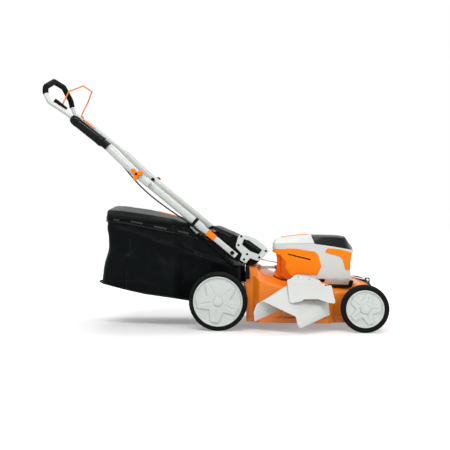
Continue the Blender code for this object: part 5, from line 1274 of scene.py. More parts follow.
def make_discharge_cover():
    outline = fillet([(-0.053, 0.4285), (-0.050, 0.4365), (-0.042, 0.4415), (-0.033, 0.4425),
                      (-0.023, 0.4395), (0.060, 0.4040), (0.072, 0.3985), (0.0775, 0.394), (0.0775, 0.388),
                      (0.071, 0.3835), (0.061, 0.3825), (0.048, 0.3935), (-0.032, 0.4265)], 0.003, 3)
    skin = pillow(outline, "XZ", -0.148, 0.148, 0.003, 4)
    hollow = prism([(-0.049, 0.400), (-0.047, 0.4345), (-0.040, 0.4385), (-0.034, 0.4393), (-0.025, 0.4365),
                    (0.056, 0.4020), (0.056, 0.375)], "XZ", -0.145, 0.145)
    stubs = [rod("XZ", (0.070, 0.391), 0.003, side * 0.144, side * 0.1555, 24, 0.0006) for side in (-1, 1)]
    ribs = [soft_box((x - 0.0014, -0.132, z - 0.003), (x + 0.0014, 0.132, z + 0.0016), 0.0006, 1)
            for x, z in ((-0.016 + 0.0085 * k, 0.4360 - 0.00363 * k) for k in range(9))]
    piece("discharge_cover", join(cut(skin, hollow), *stubs, *ribs), BLACK, "rear_flap", "discharge_flap",
          sharp=40)
    # The slanted ribs and the edge strip are in the grey of painted highlights.
    marks = []
    for side in (-1, 1):
        marks += slanted_bars((-0.028, 0.4330), (0.050, 0.3995), 13, (0.0045, 0.0078), 0.0011, 0.0006, 0.148,
                              side)
        edge = [(-0.034, 0.4276), (0.048, 0.3940), (0.0486, 0.3953), (-0.0334, 0.4289)]
        marks.append(pillow(edge, "XZ", *side_span(side, 0.147, 0.1487), 0.0003))
    piece("discharge_cover_ribs", join(*marks), RIB_PAINTED_HIGHLIGHT, "rear_flap", (), sharp=40)


make_discharge_cover()

GRIP_OUTLINE = ((0.0850, 0.4045), (0.116, 0.4035), (0.156, 0.3875), (0.181, 0.368), (0.203, 0.349),
                (0.213, 0.333), (0.179, 0.298), (0.164, 0.2915), (0.131, 0.303), (0.112, 0.279),
                (0.086, 0.296), (0.097, 0.320), (0.0695, 0.349), (0.0695, 0.359), (0.078, 0.392))
GRIP_WINDOW = ((0.102, 0.3885), (0.125, 0.382), (0.186, 0.338), (0.170, 0.3165), (0.130, 0.3315),
               (0.093, 0.3625))
GRIP_SCREWS = ((0.093, 0.3975), (0.081, 0.3595), (0.118, 0.3205), (0.105, 0.2975), (0.1705, 0.3065),
               (0.199, 0.3345))


def make_grip():
    plate = pillow(fillet(GRIP_OUTLINE, 0.006, 5), "XZ", -GRIP_FACE, -0.1563, 0.0020, 4)
    window = prism(fillet(GRIP_WINDOW, 0.005, 5), "XZ", -0.19, -0.15)
    holes = [rod("XZ", spot, 0.0053, -0.19, -GRIP_FACE + 0.0025, 24) for spot in GRIP_SCREWS]
    rim = cut(pillow(fillet(GRIP_WINDOW, 0.005, 5), "XZ", -0.1700, -0.1600, 0.0005),
              prism(fillet([(x + (0.138 - x) * 0.07, z + (0.352 - z) * 0.09) for x, z in GRIP_WINDOW], 0.004,
                           5), "XZ", -0.19, -0.15))
    piece("height_grip_plate", join(cut(plate, window, *holes), rim), WHITE, "chassis", "height_grip",
          sharp=40, bevel=0.0006)
    heads = []
    for spot in GRIP_SCREWS:
        head = rod("XZ", spot, 0.0050, -GRIP_FACE + 0.0010, -GRIP_FACE + 0.004, 24, 0.0005)
        heads.append(cut(head, rod("XZ", spot, 0.0020, -0.18, -GRIP_FACE + 0.0022, 6)))
    piece("height_grip_screws", join(*heads), BLACK, "chassis", (), sharp=40)
    lever = pillow(fillet([(0.108, 0.383), (0.124, 0.3785), (0.176, 0.341), (0.170, 0.333), (0.122, 0.366),
                           (0.104, 0.3715)],
                          0.003, 3), "XZ", -0.1693, -0.1573, 0.0015)
    piece("height_lever_body", lever, BLACK, "release_lever", "height_release_lever",
          sharp=40)
    # The lever's ribs are in the grey of painted highlights.
    ribs = slanted_bars((0.1130, 0.3760), (0.1685, 0.3375), 13, (0.0050, 0.0090), 0.0012, 0.0006, 0.1693, -1)
    piece("height_lever_ribs", join(*ribs), RIB_PAINTED_HIGHLIGHT, "release_lever", (), sharp=40)


make_grip()


# Handle
PIVOT = (0.054, 0.326)
SLOPE = math.radians(39.5)
FOLD_REACH = 0.5365
LOWER_Y, UPPER_Y = 0.168, 0.190
OVAL, FLAT = (0.0165, 0.009), (0.0123, 0.004)
UP_OVAL, ROUND = (0.0165, 0.010), (0.0104, 0.0104)
BAR_UP = (math.sin(SLOPE), 0.0, math.cos(SLOPE))


def along_handle(distance, rise=0.0):
    """A place in side view: up the handle from its pivot, and off its line by a rise."""
    c, s = math.cos(SLOPE), math.sin(SLOPE)
    return (PIVOT[0] - distance * c + rise * s, PIVOT[1] + distance * s + rise * c)


FOLD = along_handle(FOLD_REACH)


def handle_turn(distance, y, rise=0.0, slope=SLOPE):
    """Places a part drawn with its +X down the handle."""
    x, z = along_handle(distance, rise)
    return Matrix.Translation((x, y, z)) @ Matrix.Rotation(slope, 4, "Y")


def eased(marks, steps=6):
    """Places along a bar and the sizes there, with soft changes between its marks."""
    more = []
    for (a, size_a), (b, size_b) in zip(marks, marks[1:]):
        for k in range(steps):
            t = k / steps
            soft = smoothstep(0.0, 1.0, t)
            more.append((a + (b - a) * t, tuple(p + (q - p) * soft for p, q in zip(size_a, size_b))))
    return more + [marks[-1]]


def make_lower_bars():
    marks = eased(((-0.022, FLAT), (0.085, FLAT), (0.148, FLAT), (0.178, OVAL), (FOLD_REACH - 0.05, OVAL),
                   (FOLD_REACH - 0.008, FLAT), (FOLD_REACH + 0.022, FLAT)))
    for word, side in SIDES:
        path = [(along_handle(d)[0], side * LOWER_Y, along_handle(d)[1]) for d, size in marks]
        bar = sweep(path, [size for d, size in marks], 36, up=BAR_UP)
        piece(f"lower_bar_{word}", bar, TUBE, "lower_handle", f"lower_handle_{word}", sharp=50,
              bevel=0.0012)
        x, z = PIVOT
        face = LOWER_Y + 0.0043
        washer = rod("XZ", (x, z), 0.0090, *side_span(side, face + 0.0001, face + 0.0012), 40, 0.0004)
        head = rod("XZ", (x, z), 0.0078, *side_span(side, face + 0.0010, face + 0.0050), 40, 0.0010)
        head = cut(head, rod("XZ", (x, z), 0.0036, *side_span(side, face + 0.0022, face + 0.02), 6))
        shank = rod("XZ", (x, z), 0.004, *side_span(side, 0.146, face + 0.002), 24)
        piece(f"handle_bolt_{word}", join(washer, head, shank), BLACK, "chassis", f"pivot_bolt_{word}",
              sharp=40)


make_lower_bars()


def make_sleeves():
    for word, side in SIDES:
        body = soft_box((-0.0215, -0.008, -0.0135), (0.0215, 0.008, 0.0135), 0.0036, 4)
        ribs = [soft_box((x - 0.0011, -0.0088, -0.0095), (x + 0.0011, 0.0088, 0.0095), 0.0006, 2)
                for x in (-0.009, -0.003, 0.003, 0.009)]
        rims = [soft_box((x - 0.002, -0.0086, -0.0139), (x + 0.002, 0.0086, 0.0139), 0.0030,
                         3) for x in (-0.0192, 0.0192)]
        whole = join(body, *ribs, *rims)
        whole.transform(handle_turn(0.120, side * LOWER_Y))
        piece(f"lock_sleeve_{word}", whole, ORANGE, f"sleeve_{word}", f"handle_sleeve_{word}",
              sharp=45)


make_sleeves()


GRIP_FOOT = 0.3630


def upper_route():
    """The upper bar from its lower right end, over the arch, to its lower left end."""
    straight = [(along_handle(FOLD_REACH - 0.070), UP_OVAL), (along_handle(FOLD_REACH + 0.030), UP_OVAL),
                (along_handle(FOLD_REACH + 0.105, 0.004), UP_OVAL),
                (along_handle(FOLD_REACH + 0.165, 0.009), UP_OVAL),
                (along_handle(FOLD_REACH + 0.235, 0.011), ROUND),
                (along_handle(FOLD_REACH + 0.420, 0.009), ROUND)]
    marks = [(Vector((x, -UPPER_Y, z)), size) for (x, z), size in straight]
    path = [marks[-1][0]]
    for x, y, z in ((-0.396, -UPPER_Y + 0.001, 0.3237), (-0.4120, -UPPER_Y + 0.002, GRIP_FOOT),
                    (-0.4150, -0.180, 0.3900), (-0.4150, -0.068, 0.4360), (-0.4150, 0.0, 0.4360)):
        path.append(Vector((FOLD[0] + x, y, FOLD[1] + z)))
    bend = fillet(path, 0.030, 8, closed=False)
    half = eased(marks)[:-1] + [(p, ROUND) for p in bend[:-1]]
    top = [(bend[-1], ROUND)]
    return half + top + [(Vector((p.x, -p.y, p.z)), size) for p, size in reversed(half)]


def evenly_along(points, step):
    """An open line with points added so that they lie about a step apart."""
    more = [points[0]]
    for a, b in zip(points, points[1:]):
        count = max(1, int((b - a).length / step + 0.5))
        more += [a.lerp(b, k / count) for k in range(1, count + 1)]
    return more


def make_upper_bar():
    route = upper_route()
    bar = sweep([p for p, size in route], [size for p, size in route], 36, up=BAR_UP)
    piece("upper_bar", bar, TUBE, "upper_handle", "upper_handlebar", sharp=50, bevel=0.0010)
    foot = FOLD[1] + GRIP_FOOT - 0.004
    first = next(i for i, (p, size) in enumerate(route) if p.z > foot)
    path = evenly_along([p for p, size in route[first:len(route) - first]], 0.006)
    count = len(path)
    sizes = [0.0130 - 0.0015 * (1 - min(k, count - 1 - k, 2) / 2) ** 2 for k in range(count)]
    piece("foam_grip_tube", sweep(path, sizes, 36, up=BAR_UP), FOAM, "upper_handle", "foam_grip",
          sharp=50)


make_upper_bar()


# Dark red for the knob's centre plug, and as painted shade on the star's back.
PLUG_RED_AND_PAINTED_SHADE = moulded("knob_plug_and_painted_shade", linear(66, 26, 18), 0.45, specular=0.2)


def make_knobs():
    face = UPPER_Y + 0.0103
    for word, side in SIDES:
        outline = []
        for k in range(72):
            angle = 2 * math.pi * k / 72
            radius = 0.030 * (0.67 + 0.33 * math.cos(3 * (angle - math.radians(133))))
            outline.append((FOLD[0] + radius * math.cos(angle), FOLD[1] + radius * math.sin(angle)))
        star = pillow(outline, "XZ", *side_span(side, face + 0.002, face + 0.0140), 0.0030, 5)
        hub = rod("XZ", FOLD, 0.0100, *side_span(side, face, face + 0.0142), 40, 0.0012)
        stud = rod("XZ", FOLD, 0.004, *side_span(side, LOWER_Y - 0.012, face + 0.004), 24)
        well = rod("XZ", FOLD, 0.0062, *side_span(side, face + 0.0112, face + 0.03), 32)
        piece(f"knob_star_{word}", join(cut(union(star, hub), well), stud), ORANGE, f"knob_{word}",
              f"star_knob_{word}", sharp=40)
        plug = rod("XZ", FOLD, 0.0061, *side_span(side, face + 0.0100, face + 0.0126), 32, 0.0008)
        # A thin plate on the star's back in the same dark red: painted shade on the far knob's lobes.
        back = pillow([(FOLD[0] + (x - FOLD[0]) * 0.94, FOLD[1] + (z - FOLD[1]) * 0.94) for x, z in outline],
                      "XZ", *side_span(side, face + 0.0006, face + 0.0026), 0.0004)
        piece(f"knob_plug_and_painted_shade_{word}", join(plug, back), PLUG_RED_AND_PAINTED_SHADE, f"knob_{word}", (), sharp=40)
        nut = rod("XZ", FOLD, 0.0085, *side_span(side, LOWER_Y - 0.0125, LOWER_Y - 0.0043), 40, 0.0022)
        piece(f"knob_nut_{word}", nut, BLACK, f"knob_{word}", (), sharp=40)


make_knobs()

CONTROL_SLOPE = math.radians(38.4)
CONTROL_AT = FOLD_REACH + 0.290
CONTROL_SCREWS = (-0.072, 0.004, 0.048)


def control_ring(x, k, wide=0.048, tall=0.046):
    base = fillet([(-0.5, -0.5), (0.5, -0.5), (0.5, 0.5), (-0.5, 0.5)], 0.40, 8)
    return [Vector((x, p.x * wide * k, p.y * tall * k)) for p in base]


def make_control_box():
    turn = handle_turn(CONTROL_AT, -UPPER_Y, 0.0100, CONTROL_SLOPE)
    half = 0.095
    marks = [(-half, 0.50), (-half + 0.0015, 0.62), (-half + 0.005, 0.76), (-half + 0.011, 0.88),
             (-half + 0.019, 0.96), (-half + 0.028, 1.0), (-0.0590, 1.0), (-0.0572, 0.975), (-0.0555, 0.925),
             (-0.0535, 0.925), (-0.0515, 0.96), (0.0580, 0.96), (0.0592, 0.90), (0.0615, 0.90),
             (0.0632, 0.985), (0.0655, 1.0), (0.0785, 1.0), (0.0812, 0.975), (0.0830, 0.90), (0.0845, 0.82),
             (0.0865, 0.80), (0.0960, 0.80), (0.0968, 0.77), (0.0985, 0.77), (0.0993, 0.80), (0.1110, 0.80),
             (0.1130, 0.77)]
    body = loft([control_ring(x, k) for x, k in marks])
    seam = loft([control_ring(x, 1.02) for x in (-half - 0.01, half + 0.02)])
    seam = cut(common(seam, soft_box((-half + 0.016, -0.03, -0.0006), (half - 0.016, 0.03, 0.0006), 0.0001,
                                     1)),
               loft([control_ring(x, 0.965) for x in (-half - 0.02, half + 0.03)]))
    seat = box((-0.052, 0.0025, 0.017), (0.012, 0.0175, 0.046))
    holes = [rod("XZ", (x, -0.0165), 0.0028, -0.03, -0.0215, 20) for x in CONTROL_SCREWS]
    body = cut(body, seam, seat, *holes)
    body.transform(turn)
    piece("control_shell", body, GLOSS, "upper_handle", "control_box", sharp=40)
    screws = join(*[rod("XZ", (x, -0.0165), 0.0026, -0.0226, -0.020, 20, 0.0004) for x in CONTROL_SCREWS])
    screws.transform(turn)
    piece("control_screws", screws, DARK_STEEL, "upper_handle", (), sharp=40)
    button = soft_box((-0.0517, 0.0028, 0.0205), (0.0117, 0.0172, 0.0270), 0.0030, 4)
    marks = [soft_box((x - 0.0010, 0.0052, 0.0262), (x + 0.0010, 0.0148, 0.0275), 0.0004,
                      1) for x in (-0.030, -0.024, -0.018, -0.012)]
    button = join(button, *marks)
    button.transform(turn)
    piece("start_button_cap", button, ORANGE, "button", "start_button", sharp=45)


make_control_box()


def make_bail():
    x, z = FOLD[0] - 0.3525, FOLD[1] + 0.3092
    top = (FOLD[0] - 0.277, FOLD[1] + 0.4142)
    half = [(x, 0.146, z), (x + 0.011, 0.146, z + 0.024), (x + 0.033, 0.146, z + 0.066),
            (top[0], 0.070, top[1]), (top[0], 0.0, top[1])]
    path = [(x, -0.158, z)] + [(a, -b, c) for a, b, c in half] + list(reversed(half))[1:] + [(x, 0.185, z)]
    wire = sweep(fillet(path, [0, 0.008, 0.008, 0.012, 0.014, 0, 0.014, 0.012, 0.008, 0.008, 0], 6,
                        closed=False), 0.003, 20)
    piece("bail_wire", wire, ORANGE, "bail_lever", "bail", sharp=50)
    softened("bail_switch_box", 0.0030, BLACK, "upper_handle", 3)


make_bail()

CLIP_AT, CLIP_LONG = 0.2105, 0.013
CABLE_UPPER = (
    # share of the way from the clip up to the control box, distance across, rise off the handle's line
    (1.000, -0.1755, 0.0081), (0.966, -0.1755, 0.0043), (0.921, -0.1755, -0.0020), (0.872, -0.1756, -0.0065),
    (0.823, -0.1758, -0.0110), (0.763, -0.1765, -0.0158), (0.699, -0.1800, -0.0212),
    (0.633, -0.1840, -0.0264), (0.561, -0.1850, -0.0310), (0.479, -0.1850, -0.0335),
    (0.397, -0.1850, -0.0338), (0.320, -0.1840, -0.0325), (0.249, -0.1830, -0.0303),
    (0.183, -0.1820, -0.0278), (0.113, -0.1805, -0.0242), (0.055, -0.1790, -0.0212))
CABLE_LOWER = ((-0.1040, -0.1765, 0.4285), (-0.090, -0.173, 0.416), (-0.072, -0.168, 0.402),
               (-0.056, -0.1625, 0.391), (-0.043, -0.1598, 0.3845))


def cable_end(way):
    """Where a cable meets the clip's eye, above it or below it."""
    x, z = along_handle(CLIP_AT + way * (CLIP_LONG / 2 + 0.0014), -0.0200)
    return (x, -LOWER_Y - 0.0105, z)


def cable_upper_route():
    low, high = CLIP_AT + CLIP_LONG / 2, CONTROL_AT - 0.1155
    route = []
    for share, across, rise in CABLE_UPPER:
        x, z = along_handle(low + (high - low) * share, rise)
        route.append((x, across, z))
    return route + [cable_end(1)]


def make_cables():
    upper, lower = cable_upper_route(), [cable_end(-1), *CABLE_LOWER]
    for word, route in (("upper", upper), ("lower", lower)):
        piece(f"cable_{word}_run", sweep(curve_through(route, 5), 0.003, 18), BLACK, f"{word}_handle",
              f"cable_{word}", sharp=60)
    softened("cable_clip", 0.0012, BLACK, "lower_handle", 3)
    tube = sweep([(0.175 + 0.0685 * k / 12, *CONDUIT_AT) for k in range(13)], 0.0065, 32)
    piece("conduit_tube", tube, WHITE, "chassis", "cable_conduit", sharp=50)
    collars = [rod("YZ", CONDUIT_AT, 0.0092, 0.2390, 0.2445, 32, 0.0012),
               rod("YZ", CONDUIT_AT, 0.0080, 0.2350, 0.2395, 32, 0.001)]
    piece("conduit_collar", join(*collars), DARK_RED, "chassis", (), sharp=40)


make_cables()


# Grass bag
BAG_HALF, BAG_NECK, BAG_REAR, BAG_MOUTH = 0.205, 0.143, -0.523, 0.090
BAG_LEVELS = (
    # share of the height, how far the rear is drawn in, how far the sides stand out
    (0.0, 0.000, -0.008), (0.14, 0.0015, -0.001), (0.27, 0.007, 0.002), (0.43, 0.020, 0.000),
    (0.57, 0.029, -0.004), (0.84, 0.026, -0.003), (1.0, 0.020, 0.000))
BAG_UNDERSIDE = ((-0.545, 0.1950), (-0.330, 0.1455), (-0.215, 0.1305), (-0.130, 0.1155), (-0.060, 0.160),
                 (0.200, 0.160))
RAIL = ((-0.50, 0.464), (-0.397, 0.451), (-0.309, 0.434), (-0.200, 0.412), (-0.120, 0.391), (-0.091, 0.382))
FOLDS = (
    # route seen from the side, width above it, width below it, height
    (((-0.245, 0.368), (-0.187, 0.352), (-0.135, 0.324), (-0.069, 0.301), (0.004, 0.280)), 0.010, 0.034,
     0.0100),
    (((-0.481, 0.440), (-0.397, 0.416), (-0.331, 0.395), (-0.250, 0.368)), 0.012, 0.024, 0.0055),
    (((-0.405, 0.305), (-0.437, 0.247), (-0.470, 0.190)), 0.010, 0.024, 0.0080),
    (((-0.460, 0.192), (-0.400, 0.198), (-0.345, 0.197), (-0.283, 0.180)), 0.008, 0.018, 0.0050),
    (((-0.300, 0.330), (-0.250, 0.270), (-0.225, 0.200)), 0.016, 0.036, 0.0050))


def bag_floor(x):
    """The height of the bag's underside."""
    return between_rows(BAG_UNDERSIDE, max(x, -0.545))[0]


def bag_roof(x):
    """The height of the line along which the cover meets the bag."""
    if x < -0.110:
        return 0.448 + (-0.110 - x) * 0.110
    if x < 0.055:
        return 0.414 - (x + 0.095) * 0.90
    return 0.279 - (x - 0.055) * 0.20


def spaced(points, count):
    """A number of places at even steps along a line."""
    lengths = [0.0]
    for a, b in zip(points, points[1:]):
        lengths.append(lengths[-1] + (b - a).length)
    made, k = [], 0
    for i in range(count):
        goal = lengths[-1] * i / (count - 1)
        while k < len(points) - 2 and lengths[k + 1] < goal:
            k += 1
        share = (goal - lengths[k]) / max(lengths[k + 1] - lengths[k], 1e-9)
        made.append(points[k].lerp(points[k + 1], min(share, 1.0)))
    return made


def bag_plan(level, out=0.0, count=120, stop=BAG_MOUTH):
    """The right half of the bag in plan at a share of its height, from the rear's middle to the mouth."""
    drawn, bulge = between_rows(BAG_LEVELS, level)
    rear, half, neck = BAG_REAR + drawn - out, BAG_HALF - 0.008 + out, BAG_NECK + out
    line = [(rear, 0.0), (rear - 0.003, half - 0.050), (rear + 0.012, half - 0.016),
            (rear + 0.045, half + bulge * 0.5), (-0.330, half + bulge), (-0.205, half + bulge),
            (-0.162, half - 0.038), (-0.118, neck), (stop, neck)]
    radii = [0, 0.050, 0.030, 0.050, 0.200, 0.040, 0.030, 0.040, 0]
    return spaced([Vector((x, -y)) for x, y in fillet(line, radii, 6, closed=False)], count)


def off_line(spot, line):
    """How far a place lies from a broken line, below it as a negative number."""
    best = 1.0
    for a, b in zip(line, line[1:]):
        a, b = Vector(a), Vector(b)
        run = b - a
        share = min(max((spot - a).dot(run) / run.length_squared, 0.0), 1.0)
        gap = spot - (a + run * share)
        far = gap.length
        if far < abs(best):
            turned_by = run.x * gap.y - run.y * gap.x
            best = math.copysign(far, turned_by * (1 if run.x > 0 else -1))
    return best


def bag_creases(x, y, z, level):
    """How far the cloth stands out at a place, by its drawn folds, dents and gathered hem."""
    spot = Vector((x, z))
    rise = 0.0
    for line, above, below, height in FOLDS:
        far = off_line(spot, line)
        rise += height * math.exp(-(far / (above if far > 0 else below)) ** 2)
    place = Vector((x, y, z))
    slanted = Vector((x + 0.4 * z, y, z - 0.2 * x))
    rise += 0.0040 * noise.noise(place * 7.5) + 0.0022 * noise.noise(slanted * 19.0)
    rise += 0.0012 * noise.noise(place * 42.0 + Vector((3, 1, 2)))
    if x < -0.12:
        rise += 0.0022 * math.sin(x * 74.0 + 3.0 * noise.noise(place * 9.0)) * smoothstep(0.66, 0.98, level)
    return rise * window(0.0, 0.08, 0.93, 1.0, level) * smoothstep(BAG_MOUTH, BAG_MOUTH - 0.05, x)


def make_bag_cloth():
    levels = 56
    rows = []
    for i in range(levels + 1):
        level = i / levels
        plan = bag_plan(level)
        right, left = [], []
        for k, p in enumerate(plan):
            low = bag_floor(p.x) + 0.0043
            high = bag_roof(p.x) - 0.010
            z = low + (high - low) * level
            way = plan[min(k + 1, len(plan) - 1)] - plan[max(k - 1, 0)]
            out = Vector((way.y, -way.x)).normalized()
            for side, half in ((-1, right), (1, left)):
                push = bag_creases(p.x, side * p.y, z, level)
                half.append(Vector((p.x + out.x * push, -side * (p.y + out.y * push), z)))
        rows.append(list(reversed(left))[:-1] + right)
    bm = grid(rows)
    count = len(rows[0])
    for row, sag in ((rows[0], 0.0), (rows[-1], -0.004)):
        across = []
        for k in range(count // 2 + 1):
            a, b = row[k], row[count - 1 - k]
            across.append([a.lerp(b, t / 14) + Vector((0, 0, sag * math.sin(math.pi * t / 14)))
                           for t in range(15)])
        grid(across, bm)
    bmesh.ops.remove_doubles(bm, verts=bm.verts, dist=0.0002)
    bmesh.ops.recalc_face_normals(bm, faces=bm.faces)
    cloth = piece("bag_cloth", bm, FABRIC, "grass_bag", "bag_fabric", sharp=60)
    walled(cloth, 0.0018, -1.0)


make_bag_cloth()


def both_sides(points):
    """A line on the right side, carried round the middle to the left side."""
    return [Vector((p.x, -p.y, p.z)) for p in reversed(points)] + [p for p in points if abs(p.y) > 1e-6]


def make_bag_edges():
    lower = [Vector((p.x, p.y, bag_floor(p.x) + 0.0046)) for p in bag_plan(0.0, 0.0016, 90, -0.120)]
    bead = sweep(both_sides(lower), 0.0030, 10)
    seams = []
    for side in (-1, 1):
        corner = []
        for k in range(25):
            level = 0.02 + 0.96 * k / 24
            p = bag_plan(level, 0.0006)[43]
            low, high = bag_floor(p.x) + 0.0043, bag_roof(p.x) - 0.010
            corner.append((p.x, -side * p.y, low + (high - low) * level))
        seams.append(sweep(corner, 0.0016, 8))
    low, high, half = bag_floor(BAG_MOUTH) + 0.0043, bag_roof(BAG_MOUTH) - 0.010, BAG_NECK
    hem = [(BAG_MOUTH - 0.007, y, z) for y,
           z in fillet([(-half, low), (half, low), (half, high), (-half, high)], 0.006, 4)]
    hem = sweep(hem, (0.0022, 0.0075), 12, closed=True, caps=False, up=(0, 0, 1))
    piece("bag_edging", join(bead, *seams, hem), WEBBING, "grass_bag", (), sharp=60)


make_bag_edges()


def rail_height(x):
    return between_rows(RAIL, max(min(x, -0.091), -0.50))[0]


def make_bag_rim():
    """The plastic band below the cover, its clips and its lower rail."""
    plan = bag_plan(1.0, 0.0022, 130, -0.100)
    rail = [Vector((p.x, p.y, rail_height(p.x))) for p in plan]
    top = [Vector((p.x, p.y, bag_roof(p.x) - 0.008)) for p in plan]
    rows = [both_sides([a.lerp(b, k / 8) for a, b in zip(rail, top)]) for k in range(9)]
    band = piece("bag_rim_band", grid(rows), BLACK, "grass_bag", (), sharp=60)
    walled(band, 0.0016, 0.0)
    bead = sweep(both_sides(rail), (0.0034, 0.0024), 14, up=(0, 0, 1))
    clips = []
    for side in (-1, 1):
        for rear, front, rise in ((-0.468, -0.433, 0.0120), (-0.386, -0.333, 0.0135),
                                  (-0.287, -0.226, 0.0110), (-0.185, -0.140, 0.012)):
            along = [p for p in plan if rear <= p.x <= front and p.y < -0.10]
            line = [(p.x, -side * (p.y - 0.0012), rail_height(p.x) + rise) for p in along]
            if len(line) > 2:
                clips.append(sweep(line, [(0.0044, 0.0030)] * len(line), 16, up=(0, 0, 1)))
    piece("bag_rim_rail", bead, GLOSS, "grass_bag", (), sharp=45)
    piece("bag_rim_clips", join(*clips), RIM_CLIPS, "grass_bag", (), sharp=45)


make_bag_rim()


def make_bag_tray():
    outline = fillet([(-0.540, -0.150), (-0.515, -0.183), (-0.330, -0.191), (-0.215, -0.191),
                      (-0.135, -0.158), (-0.135, 0.158), (-0.215, 0.191), (-0.330, 0.191), (-0.515, 0.183),
                      (-0.540, 0.150)], 0.014, 5)
    tray = pillow(outline, "XY", 0.0, 0.004, 0.0014)
    ribs = [soft_box((-0.510, y - 0.002, -0.0014), (-0.150, y + 0.002, 0.002), 0.0006,
                     1) for y in (-0.12, -0.06, 0.0, 0.06, 0.12)]
    lip = sweep([(-0.5375, y, 0.0035) for y in (-0.145, -0.07, 0.0, 0.07, 0.145)], 0.0036, 14)
    whole = join(tray, lip, *ribs)
    for v in whole.verts:
        v.co.z += bag_floor(min(v.co.x, -0.1301))
    piece("bag_tray", whole, BLACK, "grass_bag", "bag_base", sharp=40)


make_bag_tray()

COVER_CREST = 0.056
COVER_ROWS = (
    # x, half width at the rim, half width on top, height of the side ridges and of the middle above the rim
    (-0.5025, 0.160, 0.145, 0.0160, 0.0260), (-0.492, 0.193, 0.167, 0.0240, 0.0405),
    (-0.475, 0.205, 0.173, 0.0270, 0.0445), (-0.440, 0.206, 0.175, 0.0290, 0.0470),
    (-0.360, 0.206, 0.176, 0.0275, 0.0452), (-0.294, 0.206, 0.176, 0.0245, 0.0385),
    (-0.215, 0.206, 0.175, 0.0190, 0.0290), (-0.195, 0.191, 0.168, 0.0160, 0.0262),
    (-0.165, 0.165, 0.147, 0.0090, 0.0200), (-0.118, 0.148, 0.137, 0.0030, 0.0080))
LEVEL_FLAP = (-0.290, -0.200, 0.050)


def in_window(x, y, rear, front, half, soft=0.004):
    """1 inside a rectangle seen from above, 0 outside, with soft borders."""
    return window(rear, rear + soft, front - soft, front, x) * (1 - smoothstep(half - soft, half, abs(y)))


def cover_crown(x):
    return bag_roof(x) + between_rows(COVER_ROWS, x)[3]


def cover_sink(x, y, z):
    """The cover's skin with its sunk panel, its ribs and the well of the fill-level flap."""
    z -= 0.0026 * in_window(x, y, -0.436, -0.306, 0.118)
    z += 0.0011 * in_window(x, y, -0.432, -0.310, 0.112) * max(0.0, math.sin(y * 2 * math.pi / 0.028))
    for ridge in (-0.150, 0.150):
        z += 0.0010 * math.exp(-((y - ridge) / 0.004) ** 2) * window(-0.47, -0.45, -0.20, -0.18, x)
    rear, front, half = LEVEL_FLAP
    if rear - 0.0015 < x < front + 0.0015 and abs(y) < half + 0.0015:
        share = (front - x) / (front - rear)
        well = cover_crown(front) + (cover_crown(rear) - cover_crown(front)) * share + 0.0012 - 0.0036
        return min(z, well)
    return z


def make_bag_cover():
    rings = []
    rear, front = LEVEL_FLAP[:2]
    stations = [-0.5025 + 0.3845 * k / 96 for k in range(97)]
    stations = sorted(set(stations + [rear - 0.0016, rear - 0.0014, front + 0.0014, front + 0.0016]))
    for x in stations:
        rim, top, ridge, tall = between_rows(COVER_ROWS, x)
        base, crown, edge = bag_roof(x) - 0.0097, bag_roof(x) + tall, bag_roof(x) + ridge
        right = [(rim, base), (rim, bag_roof(x) + 0.15 * ridge), (top + 0.010, edge - 0.15 * ridge),
                 (top - 0.002, edge), (COVER_CREST, crown), (0.0, crown)]
        bend = [Vector(p) for p in fillet(right, [0, 0.005, 0.008, 0.012, 0.040, 0], 6, closed=False)]
        side = spaced(bend, 96)
        line = side + [Vector((-p.x, p.y)) for p in reversed(side[:-1])]
        rings.append([Vector((x, -y, cover_sink(x, y, z) if abs(y) < top - 0.004 else z)) for y, z in line])
    bm = grid(rings)
    for ring in (rings[0], rings[-1]):
        bm.faces.new([bm.verts.new(p) for p in ring])
    bmesh.ops.remove_doubles(bm, verts=bm.verts, dist=0.00005)
    cover = piece("bag_cover_shell", bm, COVER, "grass_bag", "bag_cover", sharp=50)
    walled(cover, 0.0018, -1.0)
    rim = [Vector((x, -between_rows(COVER_ROWS, x)[0] - 0.0008, bag_roof(x) - 0.0060)) for x in stations[::3]]
    rim = [Vector((-0.5033, 0.0, rim[0].z)), Vector((-0.5033, -0.12, rim[0].z)),
           Vector((-0.5027, -0.150, rim[0].z))] + rim
    bead = sweep(both_sides(rim), (0.0036, 0.0020), 12, up=(0, 0, 1))
    piece("bag_cover_bead", bead, BLACK, "grass_bag", (), sharp=60)
    softened("bag_level_flap", 0.0011, ORANGE, "level_flap", 3)


make_bag_cover()


